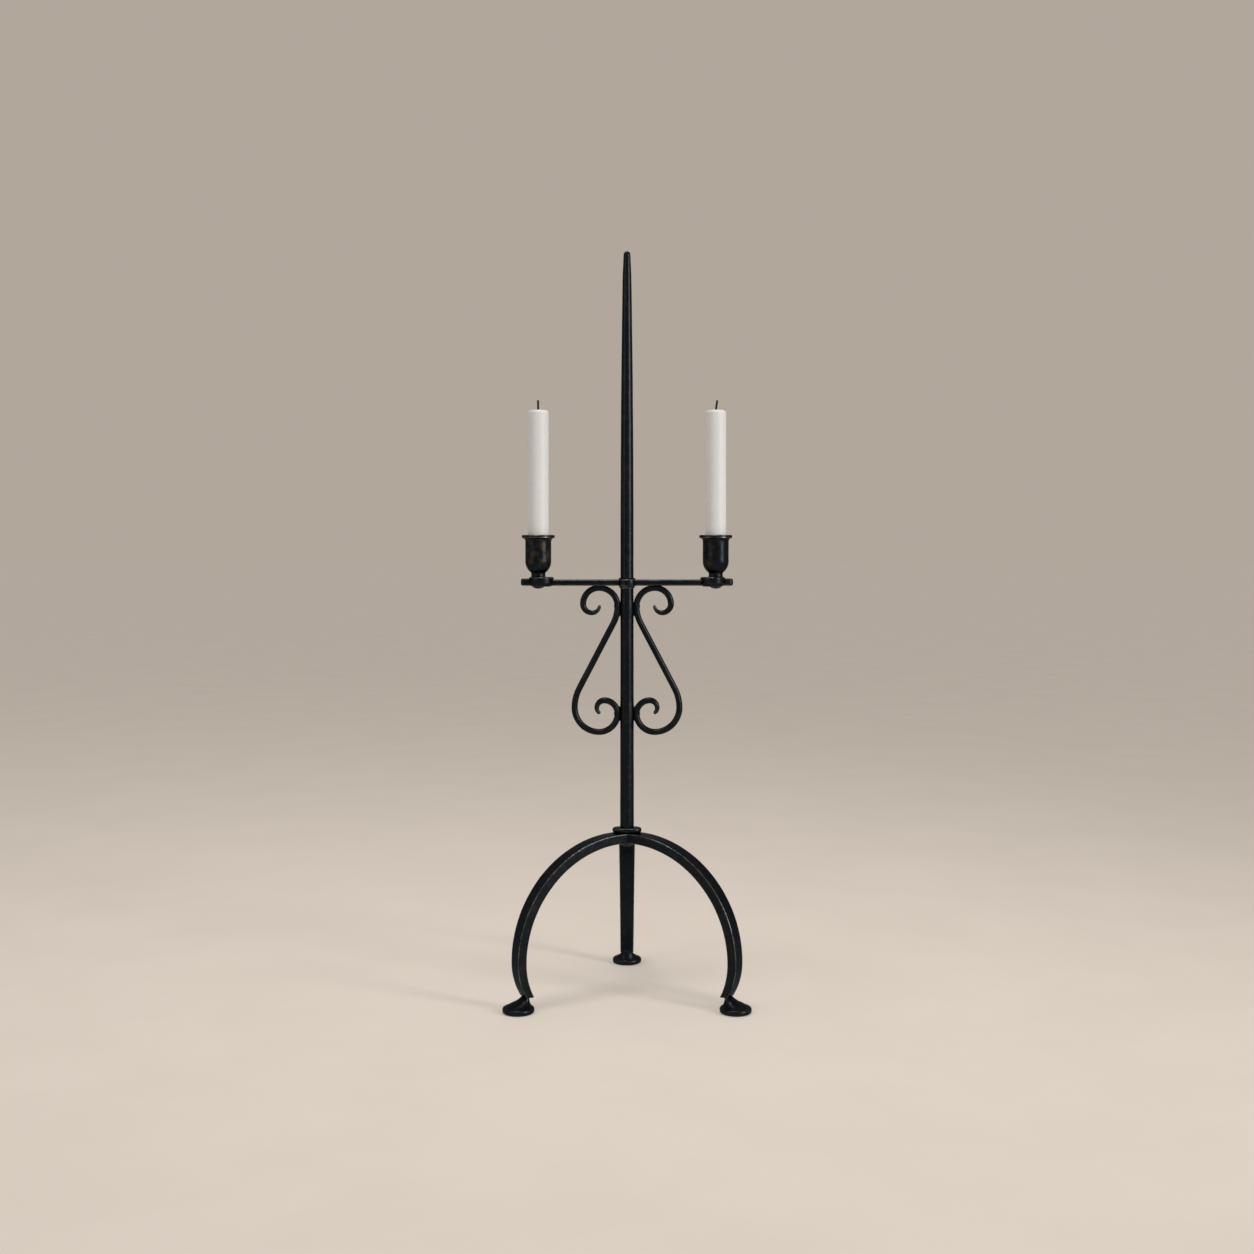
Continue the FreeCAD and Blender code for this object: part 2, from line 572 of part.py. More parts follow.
def make_crossbar():
    """The cross bar: thicker at its ends, an eye for the stem, a round boss below each cup, and holes."""
    body = new_body("crossbar", y=STEM_Y, z="sizes.bar_height")
    plan = new_sketch(body, "bar_plan", "XY_Plane")
    draw_oblong(plan, "(2 * (sizes.socket_reach + sizes.bar_tongue))", "sizes.bar_depth")
    bar = pad(body, "bar", plan, "sizes.bar_thickness")
    round_edges(body, "softened_bar", bar, is_rim_of("sizes.bar_thickness"), "sizes.bar_edge")

    tongue_top = "(sizes.bar_thickness / 2 + sizes.tongue_rise)"
    tongue_reach = "(sizes.socket_reach + sizes.bar_tongue - sizes.tongue_length / 2)"
    for name, side in SIDES.items():
        end = new_sketch(body, f"tongue_{name}_plan", "XY_Plane")
        end.setExpression("AttachmentOffset.Base.x", f"{side} * {tongue_reach}")
        end.setExpression("AttachmentOffset.Base.z", f"{tongue_top} / 2")
        draw_oblong(end, "sizes.tongue_length", "sizes.bar_depth")
        tongue = pad(body, f"tongue_{name}", end, tongue_top)
    is_tongue_rim = partial(is_level, height=value(tongue_top))
    round_edges(body, "softened_tongues", tongue, is_tongue_rim, "sizes.bar_edge")

    ring = new_sketch(body, "eye_plan", "XY_Plane")
    draw_circle(ring, "0", "0", "sizes.eye_diameter / 2")
    eye = pad(body, "eye", ring, "sizes.eye_thickness")
    round_edges(body, "softened_eye", eye, is_rim_of("sizes.eye_thickness"), "sizes.eye_edge")

    radius = "(sizes.boss_diameter / 2)"
    corners = [
        ("0", "-sizes.boss_drop"),
        (f"{radius} - sizes.boss_slope", "-sizes.boss_drop"),
        (radius, "-sizes.boss_keel"),
        (radius, "sizes.boss_rise - sizes.boss_edge"),
        (f"{radius} - sizes.boss_edge", "sizes.boss_rise"),
        ("0", "sizes.boss_rise"),
    ]
    arcs = {
        1: (dome_radius("sizes.boss_slope", "sizes.boss_drop - sizes.boss_keel"), -1),
        3: ("sizes.boss_edge", -1),
    }
    for name, side in SIDES.items():
        middle = f"{side} * (sizes.socket_reach - sizes.boss_shift)"
        revolve(body, f"boss_{name}", corners, arcs, across=middle)

    holes = new_sketch(body, "hole_circles", "XY_Plane")
    draw_circle(holes, "0", "0", "sizes.stem_bar_diameter / 2 + sizes.fit")
    for side in SIDES.values():
        draw_circle(holes, f"{side} * sizes.socket_reach", "0", RIVET_HOLE)
    cut_through(body, "holes", holes)
    return body


def make_socket(side):
    """A candle cup: flared foot, neck, bowl, straight wall and rolled rim, sunk for its rivet."""
    body = new_body(f"socket_{side}", x=f"{SIDES[side]} * sizes.socket_reach", y=STEM_Y)
    base = "sizes.socket_base_diameter / 2"
    neck = "sizes.socket_neck_diameter / 2"
    wall = "sizes.socket_wall_diameter / 2"
    rim = "sizes.socket_rim_diameter / 2"
    bore = "sizes.candle_diameter / 2 + sizes.candle_play"
    foot_flare = f"({base} - {neck})"
    rim_flare = f"({rim} - {wall})"
    neck_top = f"({BOSS_TOP} + sizes.socket_neck_height)"
    band = f"({RIM_TOP} - sizes.socket_rim_height)"
    corners = [
        (RIVET_HOLE, BOSS_TOP),
        (base, BOSS_TOP),
        (neck, f"{BOSS_TOP} + {foot_flare}"),
        (neck, neck_top),
        (wall, f"{neck_top} + sizes.socket_bowl_height"),
        (wall, f"{band} - {rim_flare}"),
        (rim, band),
        (rim, f"{RIM_TOP} - sizes.socket_rim_edge"),
        (f"{rim} - sizes.socket_rim_edge", RIM_TOP),
        (bore, RIM_TOP),
        (bore, CUP_FLOOR),
        ("sizes.rivet_sink_diameter / 2 + sizes.fit", CUP_FLOOR),
        (RIVET_HOLE, f"{CUP_FLOOR} - sizes.rivet_sink_depth"),
    ]
    arcs = {
        1: (foot_flare, 1),
        3: (dome_radius("sizes.socket_bowl_height", f"{wall} - {neck}"), -1),
        5: (rim_flare, 1),
        7: ("sizes.socket_rim_edge", -1),
    }
    revolve(body, "cup", corners, arcs)
    return body


def make_socket_rivet(side):
    """The rivet that holds a candle cup: low head below the boss, end sunk in the cup's floor."""
    body = new_body(f"socket_rivet_{side}", x=f"{SIDES[side]} * sizes.socket_reach", y=STEM_Y)
    head = "sizes.rivet_head_diameter / 2"
    rise = "(sizes.rivet_head_height - sizes.rivet_head_band)"
    corners = [
        ("0", f"{BOSS_UNDER} - sizes.rivet_head_height"),
        (head, f"{BOSS_UNDER} - sizes.rivet_head_band"),
        (head, BOSS_UNDER),
        ("sizes.rivet_shank_diameter / 2", BOSS_UNDER),
        ("sizes.rivet_shank_diameter / 2", f"{CUP_FLOOR} - sizes.rivet_sink_depth"),
        ("sizes.rivet_sink_diameter / 2", CUP_FLOOR),
        ("0", CUP_FLOOR),
    ]
    revolve(body, "rivet", corners, {0: (dome_radius(head, rise), -1)})
    return body


def make_candle(side):
    """A candle with a rounded top, standing on the floor of its cup, with the way for its wick."""
    body = new_body(f"candle_{side}", x=f"{SIDES[side]} * sizes.socket_reach", y=STEM_Y)
    radius = "sizes.candle_diameter / 2"
    corners = [
        (WICK_HOLE, CUP_FLOOR),
        (radius, CUP_FLOOR),
        (radius, f"{CANDLE_TOP} - sizes.candle_shoulder"),
        (f"{radius} - sizes.candle_shoulder", CANDLE_TOP),
        (WICK_HOLE, CANDLE_TOP),
    ]
    revolve(body, "wax", corners, {2: ("sizes.candle_shoulder", -1)})
    return body


def make_wick(side):
    """A wick: straight inside the candle, leaning above it, with round ends."""
    core = doc.addObject("Part::Cylinder", f"wick_core_{side}")
    core.setExpression("Height", "sizes.candle_length")
    burnt = doc.addObject("Part::Cylinder", f"wick_end_{side}")
    tilt(burnt, "Placement", f"sizes.wick_lean_{side}")
    burnt.setExpression("Height", "sizes.wick_exposed")
    knuckle = doc.addObject("Part::Sphere", f"wick_knuckle_{side}")
    for piece, height in ((core, CUP_FLOOR), (burnt, CANDLE_TOP), (knuckle, CANDLE_TOP)):
        piece.setExpression("Placement.Base.z", height)
        piece.setExpression("Radius", "sizes.wick_diameter / 2")
    wick = doc.addObject("Part::MultiFuse", f"wick_{side}")
    wick.Label = f"wick_{side}"
    wick.Shapes = [core, knuckle, burnt]
    place(wick, x=f"{SIDES[side]} * sizes.socket_reach", y=STEM_Y)
    return wick


def run_on(point, heading, radius, turn):
    """An arc of the scroll's path: its edge, its end and the heading there.

    Headings and turns are in degrees, anticlockwise as seen from the front.
    """
    side = math.copysign(QUARTER, turn)
    to_centre = FreeCAD.Rotation(Vector(0, -1, 0), heading + side).multVec(Vector(radius, 0, 0))
    centre = point + to_centre
    middle = centre - FreeCAD.Rotation(Vector(0, -1, 0), turn / 2).multVec(to_centre)
    end = centre - FreeCAD.Rotation(Vector(0, -1, 0), turn).multVec(to_centre)
    return Part.Arc(point, middle, end).toShape(), end, heading + turn


def rod_along(edges, start_diameter, end_diameter):
    """A round rod along a chain of edges, of one thickness or evenly tapered."""
    spine = Part.Wire(edges)
    shell = Part.BRepOffsetAPI.MakePipeShell(spine)
    first = edges[0]
    last = edges[-1]
    ends = (
        (first, first.FirstParameter, start_diameter),
        (last, last.LastParameter, end_diameter),
    )
    for edge, parameter, diameter in ends:
        ring = Part.makeCircle(diameter / 2, edge.valueAt(parameter), edge.tangentAt(parameter))
        shell.add(Part.Wire(ring))
    shell.build()
    shell.makeSolid()
    return shell.shape()


def scroll_rod():
    """The right scroll's rod: both curls grow from the top of the crown, where the path is level."""
    rod = value("sizes.rod_diameter")
    top = Vector(value(f"{ROD_REACH} + sizes.crown_radius"), 0, value(CROWN_TOP))
    pieces = []

    def follow(point, heading, runs):
        edges = []
        for radius, turn in runs:
            edge, point, heading = run_on(point, heading, value(f"sizes.{radius}"), turn)
            edges.append(edge)
        return edges, point, heading

    def curl_end(point, heading, turning, name, inner, tip):
        waist = value(f"sizes.{name}_waist_diameter")
        tip_diameter = value(f"sizes.{name}_tip_diameter")
        first, point, heading = follow(point, heading, [(inner, turning * QUARTER)])
        last, point, heading = follow(point, heading, [(tip, turning * value(f"sizes.{name}_tip_turn"))])
        pieces.append(rod_along(first, rod, waist))
        pieces.append(rod_along(last, waist, tip_diameter))
        pieces.append(Part.makeSphere(tip_diameter / 2, point))

    outward, point, heading = follow(top, 0, [("crown_outer_radius", -QUARTER)])
    pieces.append(rod_along(outward, rod, rod))
    curl_end(point, heading, -1, "crown", "crown_inner_radius", "crown_tip_radius")

    slant = value("sizes.scroll_slant")
    inward, point, heading = follow(top, HALF_TURN, [("crown_radius", QUARTER), ("shoulder_radius", slant)])
    step = FreeCAD.Rotation(Vector(0, -1, 0), heading).multVec(Vector(value(SLANT_RUN), 0, 0))
    straight = Part.makeLine(point, point + step)
    quarters = [(radius, -QUARTER) for radius in ("belly_radius", "heel_radius", "curl_radius")]
    runs = [("hip_radius", -slant), *quarters]
    lower, point, heading = follow(point + step, heading, runs)
    for edge in [*inward, straight, *lower]:
        pieces.append(rod_along([edge], rod, rod))
    curl_end(point, heading, -1, "curl", "curl_inner_radius", "curl_tip_radius")
    return pieces


def make_scroll(side):
    """A scroll with its seats on the stem, let in round the stem, flat under the bar and drilled."""
    pieces = scroll_rod()
    seat_height = value("sizes.seat_height")
    seat_radius = value("sizes.seat_diameter / 2")
    seat_middles = (value(f"{UPPER_SEAT} - sizes.seat_drop"), value(LOWER_SEAT))
    for middle in seat_middles:
        towards_stem = seat_radius / 2
        foot = Vector(value(ROD_REACH) - towards_stem, 0, middle - seat_height / 2)
        pieces.append(Part.makeCylinder(seat_radius, seat_height, foot))
    shape = pieces[0].multiFuse(pieces[1:]).removeSplitter()

    low = value(COLLAR_TOP)
    stem_foot = value("sizes.stem_foot_diameter / 2")
    stem_bar = value("sizes.stem_bar_diameter / 2")
    stem = Part.makeCone(stem_foot, stem_bar, value(EYE_UNDER) - low, Vector(0, 0, low))
    rod = value("sizes.rod_diameter")
    width = value(f"{ROD_REACH} + sizes.crown_radius + sizes.crown_outer_radius")
    above_bar = Part.makeBox(width, 2 * rod, rod, Vector(0, -rod, value(BAR_UNDER)))
    spot = value(PIN_SPOT)
    cuts = [stem, above_bar]
    across = Vector(1, 0, 0)
    for height in (value(UPPER_SEAT), value(LOWER_SEAT)):
        axis = Vector(0, 0, height)
        cuts.append(Part.makeCylinder(value("sizes.pin_diameter / 2 + sizes.fit"), spot, axis, across))
        head_room = value("sizes.pin_head_diameter / 2 + sizes.fit")
        cuts.append(Part.makeCylinder(head_room, rod, axis + across * spot, across))
    shape = shape.cut(cuts)

    scroll = doc.addObject("Part::Feature", f"scroll_{side}")
    scroll.Label = f"scroll_{side}"
    scroll.Shape = shape if SIDES[side] > 0 else shape.mirror(Vector(), across)
    place(scroll, y=STEM_Y)
    return scroll


def make_scroll_rivet(name, height):
    """A cross rivet through both scrolls and the stem, with a low round head at each end."""
    body = new_body(f"scroll_rivet_{name}", y=STEM_Y, z=height)
    shank = "sizes.pin_diameter / 2"
    head = "sizes.pin_head_diameter / 2"
    end = f"({PIN_SPOT} + sizes.pin_head_height)"
    corners = [
        (f"-{end}", "0"),
        (end, "0"),
        (PIN_SPOT, head),
        (PIN_SPOT, shank),
        (f"-{PIN_SPOT}", shank),
        (f"-{PIN_SPOT}", head),
    ]
    dome = dome_radius(head, "sizes.pin_head_height")
    revolve(body, "pin", corners, {1: (dome, -1), 5: (dome, -1)}, axis="H_Axis")
    return body


def check(parts):
    """Stops when an object of the document failed or a sub-part has no sound solid."""
    for item in doc.Objects:
        if "Invalid" in item.State or "Error" in item.State:
            raise RuntimeError(f"{item.Label} failed: {item.State}")
    for part in parts:
        if part.Shape.isNull() or not part.Shape.isValid() or len(part.Shape.Solids) != 1:
            raise RuntimeError(f"{part.Label} is not one sound solid")


parts = [make_stem(), make_collar(), make_rove(), make_crossbar()]
for name, turn in LEG_ANGLES.items():
    parts += [make_leg(name, turn), make_foot(name, turn)]
for side in SIDES:
    for make in (make_socket, make_socket_rivet, make_candle, make_wick, make_scroll):
        parts.append(make(side))
parts += [make_scroll_rivet("upper", UPPER_SEAT), make_scroll_rivet("lower", LOWER_SEAT)]
doc.recompute()
check(parts)

os.makedirs("parts", exist_ok=True)
for part in parts:
    part.Shape.exportStep(f"parts/{part.Label}.step")
    box = part.Shape.BoundBox
    print(f"{part.Label}: {part.Shape.Volume:.0f} mm3, Z {box.ZMin:.1f} to {box.ZMax:.1f}")
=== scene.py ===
"""Looks of a blackened iron candlestick with two white candles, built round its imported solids.

Shapes are drawn in millimetres and brought to metres when they become pieces. X runs to the right, Y to
the rear and Z up from the floor. Turned and swept shapes are drawn about the Z axis and then set on the
stem's axis, which stands in front of the middle of the footprint.
"""
import sys
import logging
import math
from dataclasses import dataclass
from enum import Enum
from typing import Any

import bmesh
import bpy
from mathutils import Matrix, Vector, noise


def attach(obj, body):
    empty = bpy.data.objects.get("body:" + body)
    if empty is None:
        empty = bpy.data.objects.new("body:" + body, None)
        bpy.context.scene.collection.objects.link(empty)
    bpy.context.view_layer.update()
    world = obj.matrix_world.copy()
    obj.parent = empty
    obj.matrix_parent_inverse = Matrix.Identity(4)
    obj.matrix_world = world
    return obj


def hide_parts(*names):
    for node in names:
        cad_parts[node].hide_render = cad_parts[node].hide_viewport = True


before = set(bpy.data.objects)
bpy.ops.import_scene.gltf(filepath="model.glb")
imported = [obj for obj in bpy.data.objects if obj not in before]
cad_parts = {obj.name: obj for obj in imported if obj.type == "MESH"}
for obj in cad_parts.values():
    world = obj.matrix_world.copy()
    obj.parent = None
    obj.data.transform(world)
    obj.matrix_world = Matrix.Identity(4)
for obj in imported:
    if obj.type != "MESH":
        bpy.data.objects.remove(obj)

Colour = tuple[float, float, float, float]
Section = tuple[float, float, float, float]
Point = tuple[float, float, float]
Pair = tuple[float, float]
Values = dict[Any, Any]

MM = 0.001
STEM_Y = -31.968
WELD = 0.002
SIDES = 56
RIM_BEND = math.radians(60.0)
CREASE = math.radians(42.0)
# How sharp an edge must be for its painted brightening to start and to be full; the brightening is partly
# wear and partly a painted highlight.
WEAR_AND_HIGHLIGHT_START = 0.35
WEAR_AND_HIGHLIGHT_FULL = 0.95
ORIGIN = Vector((0.0, 0.0, 0.0))
UP = Vector((0.0, 0.0, 1.0))
FRONT = Vector((0.0, -1.0, 0.0))
EDGE_WEAR_AND_HIGHLIGHT = "edge_wear"
STAND = "stand"
SKY: Colour = (0.44, 0.385, 0.33, 1.0)

log = logging.getLogger("candlestick")


class Place(Enum):
    """Where one of several like pieces stands."""

    @property
    def word(self) -> str:
        """The place as it stands in the names of nodes."""
        return self.name.lower()


class Side(Place):
    """The two arms of the crossbar."""

    LEFT = -1
    RIGHT = 1


class LegPlace(Place):
    """Where each leg points, in degrees about the stem from the X axis."""

    FRONT_LEFT = 210
    FRONT_RIGHT = 330
    REAR = 90


@dataclass(frozen=True)
class Marks:
    """Hammer marks on a skin, in millimetres, and where in their pattern a piece and the next ones start."""

    depth: float
    grain: float
    seed: float = 0.0
    step: float = 1.0


def arched(run: float, rise: float) -> Pair:
    """The radius and the degrees of an arc that starts level, goes run across and climbs by rise."""
    radius = (run ** 2 + rise ** 2) / (2 * rise)
    return radius, math.degrees(math.asin(run / radius))


def facing(degrees: float) -> Vector:
    """The way that a heading in the upright plane points, in degrees from +X towards +Z."""
    turn = math.radians(degrees)
    return Vector((math.cos(turn), 0.0, math.sin(turn)))


def about(point: Vector, change: Matrix, shift: Vector = ORIGIN) -> Matrix:
    """A change made about a point, which then moves by a shift."""
    return Matrix.Translation(point + shift) @ change @ Matrix.Translation(-point)


class Shape:
    """A mesh being shaped, in millimetres."""

    def __init__(self) -> None:
        """Starts with nothing in it."""
        self.mesh = bmesh.new()

    def everything(self) -> list[Any]:
        """All vertices, edges and faces."""
        return [*self.mesh.verts, *self.mesh.edges, *self.mesh.faces]

    def close(self) -> None:
        """Merges doubled vertices, then turns all faces outwards."""
        bmesh.ops.remove_doubles(self.mesh, verts=self.mesh.verts, dist=WELD)
        bmesh.ops.recalc_face_normals(self.mesh, faces=self.mesh.faces)

    def turn(self, sides: int = SIDES) -> None:
        """Turns the pen's line, which has no faces yet, once round the Z axis.

        Args:
            sides: Steps of the turn.
        """
        line = [vert for vert in self.mesh.verts if not vert.link_faces]
        edges = dict.fromkeys(edge for vert in line for edge in vert.link_edges)
        bmesh.ops.spin(
            self.mesh, geom=[*line, *edges], cent=ORIGIN, axis=UP,
            angle=math.tau, steps=sides, use_merge=True)
        self.close()

    def move(self, across: float = 0.0, back: float = 0.0, up: float = 0.0) -> None:
        """Moves the whole shape."""
        bmesh.ops.translate(self.mesh, verts=self.mesh.verts, vec=(across, back, up))

    def swing(self, degrees: float, axis: str = "Z") -> None:
        """Turns the whole shape about an axis through the origin."""
        spin = Matrix.Rotation(math.radians(degrees), 3, axis)
        bmesh.ops.rotate(self.mesh, cent=ORIGIN, matrix=spin, verts=self.mesh.verts)

    def flip(self) -> None:
        """Turns the shape into its mirror image across the YZ plane."""
        bmesh.ops.scale(self.mesh, vec=(-1, 1, 1), verts=self.mesh.verts)
        bmesh.ops.recalc_face_normals(self.mesh, faces=self.mesh.faces)

    def cut(self, point: Point, outward: Point) -> None:
        """Saws off what lies outward of a plane and closes the cut.

        Args:
            point: A point of the plane.
            outward: The direction of the part that goes.
        """
        made = bmesh.ops.bisect_plane(
            self.mesh, geom=self.everything(), dist=WELD, plane_co=point, plane_no=outward,
            clear_outer=True)
        edges = [item for item in made["geom_cut"] if isinstance(item, bmesh.types.BMEdge)]
        bmesh.ops.edgeloop_fill(self.mesh, edges=edges)
        self.close()

    def quarters(self) -> None:
        """Mirrors the pen's line, a quarter of an outline, into the whole outline."""
        for axis in ("X", "Z"):
            bmesh.ops.mirror(self.mesh, geom=self.everything(), matrix=Matrix(), merge_dist=WELD, axis=axis)

    def plate(self, length: float, depth: float, thickness: float, edge: float) -> None:
        """Cuts a level oblong with half-round ends out of plate and rounds its rims.

        Args:
            length: Its size along X.
            depth: Its size along Y.
            thickness: Its size along Z.
            edge: The rounding of its rims.
        """
        tip, half = length / 2, depth / 2
        Pen(self, tip, 0.0).arc(tip - half, 0.0, 90.0, 12).line(0.0, half, 14)
        self.quarters()
        self.swing(-90.0, "X")
        bmesh.ops.contextual_create(self.mesh, geom=self.mesh.edges)
        made = bmesh.ops.extrude_face_region(self.mesh, geom=self.mesh.faces)
        top = [item for item in made["geom"] if isinstance(item, bmesh.types.BMVert)]
        bmesh.ops.translate(self.mesh, verts=top, vec=(0.0, 0.0, thickness))
        self.close()
        rims = [item for item in self.mesh.edges if item.calc_face_angle(0.0) > RIM_BEND]
        bmesh.ops.bevel(
            self.mesh, geom=rims, offset=edge, segments=5, profile=0.5, affect="EDGES", material=-1)
        self.move(up=-thickness / 2)

    def ring(self, radius: float, sides: int = SIDES, place: Matrix = Matrix()) -> "Sweep":
        """Draws a ring about the Z axis, or about another place, ready to be drawn out."""
        made = bmesh.ops.create_circle(self.mesh, radius=radius, segments=sides, matrix=place)
        return Sweep(self, made["verts"])

    def join(self, other: "Shape") -> None:
        """Takes in all of another shape, which is used up.

        Args:
            other: The shape that is taken in.
        """
        held = bpy.data.meshes.new("joined")
        other.mesh.to_mesh(held)
        other.mesh.free()
        self.mesh.from_mesh(held)
        bpy.data.meshes.remove(held)

    def hammer(self, marks: Marks, place: int = 0) -> None:
        """Sinks the skin unevenly, as hammer blows leave it, and never raises it.

        Args:
            marks: How deep and how wide the marks are.
            place: Which of several like pieces this is.
        """
        self.mesh.normal_update()
        seed = marks.seed + marks.step * place
        shift = Vector((seed, -seed, seed))
        for vert in self.mesh.verts:
            blow = 0.5 + 0.5 * noise.noise(vert.co / marks.grain + shift)
            vert.co -= vert.normal * marks.depth * blow

    def mark_edges(self) -> None:
        """Notes on each vertex how sharp an edge it lies on, by how sharply the skin turns outwards there,
        as the mask for rubbed wear and a painted highlight on the iron.
        """
        layer = self.mesh.verts.layers.float.new(EDGE_WEAR_AND_HIGHLIGHT)
        for edge in self.mesh.edges:
            if len(edge.link_faces) != 2:
                continue
            first, second = (face.calc_center_median() for face in edge.link_faces)
            bend = edge.calc_face_angle_signed(0.0) / max((first - second).length, WELD)
            wear_and_highlight = min(max((bend - WEAR_AND_HIGHLIGHT_START) / (WEAR_AND_HIGHLIGHT_FULL - WEAR_AND_HIGHLIGHT_START), 0.0), 1.0)
            for vert in edge.verts:
                vert[layer] = max(vert[layer], wear_and_highlight)

    def show(self, name: str, finish: "Finish") -> bpy.types.Object:
        """Puts the shape in the scene, which uses it up.

        Args:
            name: The name that it gets there.
            finish: What it is made of.

        Returns:
            The new object.
        """
        mesh = bpy.data.meshes.new(name)
        self.mesh.to_mesh(mesh)
        self.mesh.free()
        mesh.materials.append(finish.material())
        made = bpy.data.objects.new(name, mesh)
        bpy.context.scene.collection.objects.link(made)
        return made

    def piece(self, node: str, made_as: str, finish: "Finish", body: str = STAND) -> None:
        """Sets the shape on the stem's axis and makes it a piece of the object.

        Args:
            node: The solid that it stands for.
            made_as: The last word of the piece's name, after the node.
            finish: What it is made of.
            body: The body that it moves with.
        """
        self.move(back=STEM_Y)
        self.mark_edges()
        bmesh.ops.scale(self.mesh, vec=(MM, MM, MM), verts=self.mesh.verts)
        name = f"{node}_{made_as}"
        made = self.show(name, finish)
        made.data.shade_smooth()
        made.data.set_sharp_from_angle(angle=CREASE)
        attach(made, body)
        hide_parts(node)
        log.info("%s: %d faces in %s, for %s", name, len(made.data.polygons), finish.slot, node)


class Pen:
    """Draws a line in the upright plane through the X axis, ready to be turned or filled."""

    def __init__(self, shape: Shape, across: float, up: float) -> None:
        """Sets the pen down on a shape."""
        self.mesh = shape.mesh
        self.tip = self.mesh.verts.new((across, 0.0, up))

    def line(self, across: float, up: float, parts: int = 1) -> "Pen":
        """Draws a straight line.

        Args:
            across: Where it ends, from the axis.
            up: Where it ends, in height.
            parts: The edges that it is made of.

        Returns:
            The pen.
        """
        stride = (Vector((across, 0.0, up)) - self.tip.co) / parts
        for _ in range(parts):
            self.tip = bmesh.ops.extrude_vert_indiv(self.mesh, verts=[self.tip])["verts"][0]
            bmesh.ops.translate(self.mesh, verts=[self.tip], vec=stride)
        return self

    def arc(self, across: float, up: float, degrees: float, parts: int = 6) -> "Pen":
        """Draws an arc from where the pen is.

        Args:
            across: The arc's centre, from the axis.
            up: The arc's centre, in height.
            degrees: How far it goes round, from +X towards +Z.
            parts: The edges that it is made of.

        Returns:
            The pen.
        """
        made = bmesh.ops.spin(
            self.mesh, geom=[self.tip], cent=(across, 0.0, up), axis=FRONT,
            angle=math.radians(degrees), steps=parts)
        self.tip = next(item for item in made["geom_last"] if isinstance(item, bmesh.types.BMVert))
        return self


class Sweep:
    """A ring that is drawn along and leaves its skin behind it."""

    def __init__(self, shape: Shape, ring: list[Any]) -> None:
        """Takes up a ring of vertices that a shape already has."""
        self.mesh = shape.mesh
        self.ring = ring

    def edges(self) -> list[Any]:
        """The edges of the ring itself."""
        around = dict.fromkeys(edge for vert in self.ring for edge in vert.link_edges)
        return [edge for edge in around if all(vert in self.ring for vert in edge.verts)]

    def middle(self) -> Vector:
        """The middle of the ring."""
        return sum((vert.co for vert in self.ring), Vector()) / len(self.ring)

    def cap(self) -> None:
        """Closes the ring with a face."""
        bmesh.ops.contextual_create(self.mesh, geom=self.edges())

    def step(self, change: Matrix) -> None:
        """Draws the ring out once.

        Args:
            change: How the new ring lies from the last one.
        """
        made = bmesh.ops.extrude_edge_only(self.mesh, edges=self.edges())
        self.ring = [item for item in made["geom"] if isinstance(item, bmesh.types.BMVert)]
        bmesh.ops.transform(self.mesh, matrix=change, verts=self.ring)

    def run(self, way: Vector, parts: int) -> None:
        """Draws the ring straight on, a given way in equal steps."""
        for _ in range(parts):
            self.step(Matrix.Translation(way / parts))

    def resize(self, scale: Vector, shift: Vector = ORIGIN) -> None:
        """Draws the ring out, scaled about its middle along X, Y and Z, and shifts it."""
        self.step(about(self.middle(), Matrix.Diagonal((*scale, 1.0)), shift))

    def bend(self, centre: Vector, degrees: float, parts: int, taper: float = 1.0) -> None:
        """Draws the ring round a centre in the upright plane.

        Args:
            centre: What it goes round.
            degrees: How far, from +X towards +Z.
            parts: The steps that it takes.
            taper: Its size at the end, from its size at the start.
        """
        round_centre = about(centre, Matrix.Rotation(math.radians(degrees) / parts, 4, FRONT))
        for count in range(parts):
            after = round_centre @ self.middle()
            size = 1.0 + (taper - 1.0) * (count + 1) / parts
            before = 1.0 + (taper - 1.0) * count / parts
            self.step(about(after, Matrix.Scale(size / before, 4)) @ round_centre)

    def ball(self, heading: Vector, radius: float, parts: int = 5) -> None:
        """Ends the ring in a half ball.

        Args:
            heading: The way the ring faces.
            radius: The ring's radius.
            parts: The steps from rim to tip.
        """
        for count in range(parts):
            here, there = (math.pi / 2 * (count + more) / parts for more in (0, 1))
            rise = heading * radius * (math.sin(there) - math.sin(here))
            self.step(about(self.middle(), Matrix.Scale(math.cos(there) / math.cos(here), 4), rise))


class Wire:
    """An output in a material's tree that takes part in sums."""

    def __init__(self, tree: "Tree", socket: bpy.types.NodeSocket) -> None:
        """Holds one output socket."""
        self.tree = tree
        self.socket = socket

    def __add__(self, other: "Wire | float") -> "Wire":
        """Sum."""
        return self.tree.maths("ADD", self, other)

    def __sub__(self, other: "Wire | float") -> "Wire":
        """Difference."""
        return self.tree.maths("SUBTRACT", self, other)

    def __rsub__(self, other: float) -> "Wire":
        """Difference, from the right."""
        return self.tree.maths("SUBTRACT", other, self)

    def __mul__(self, other: "Wire | float") -> "Wire":
        """Product."""
        return self.tree.maths("MULTIPLY", self, other)

    __radd__ = __add__
    __rmul__ = __mul__


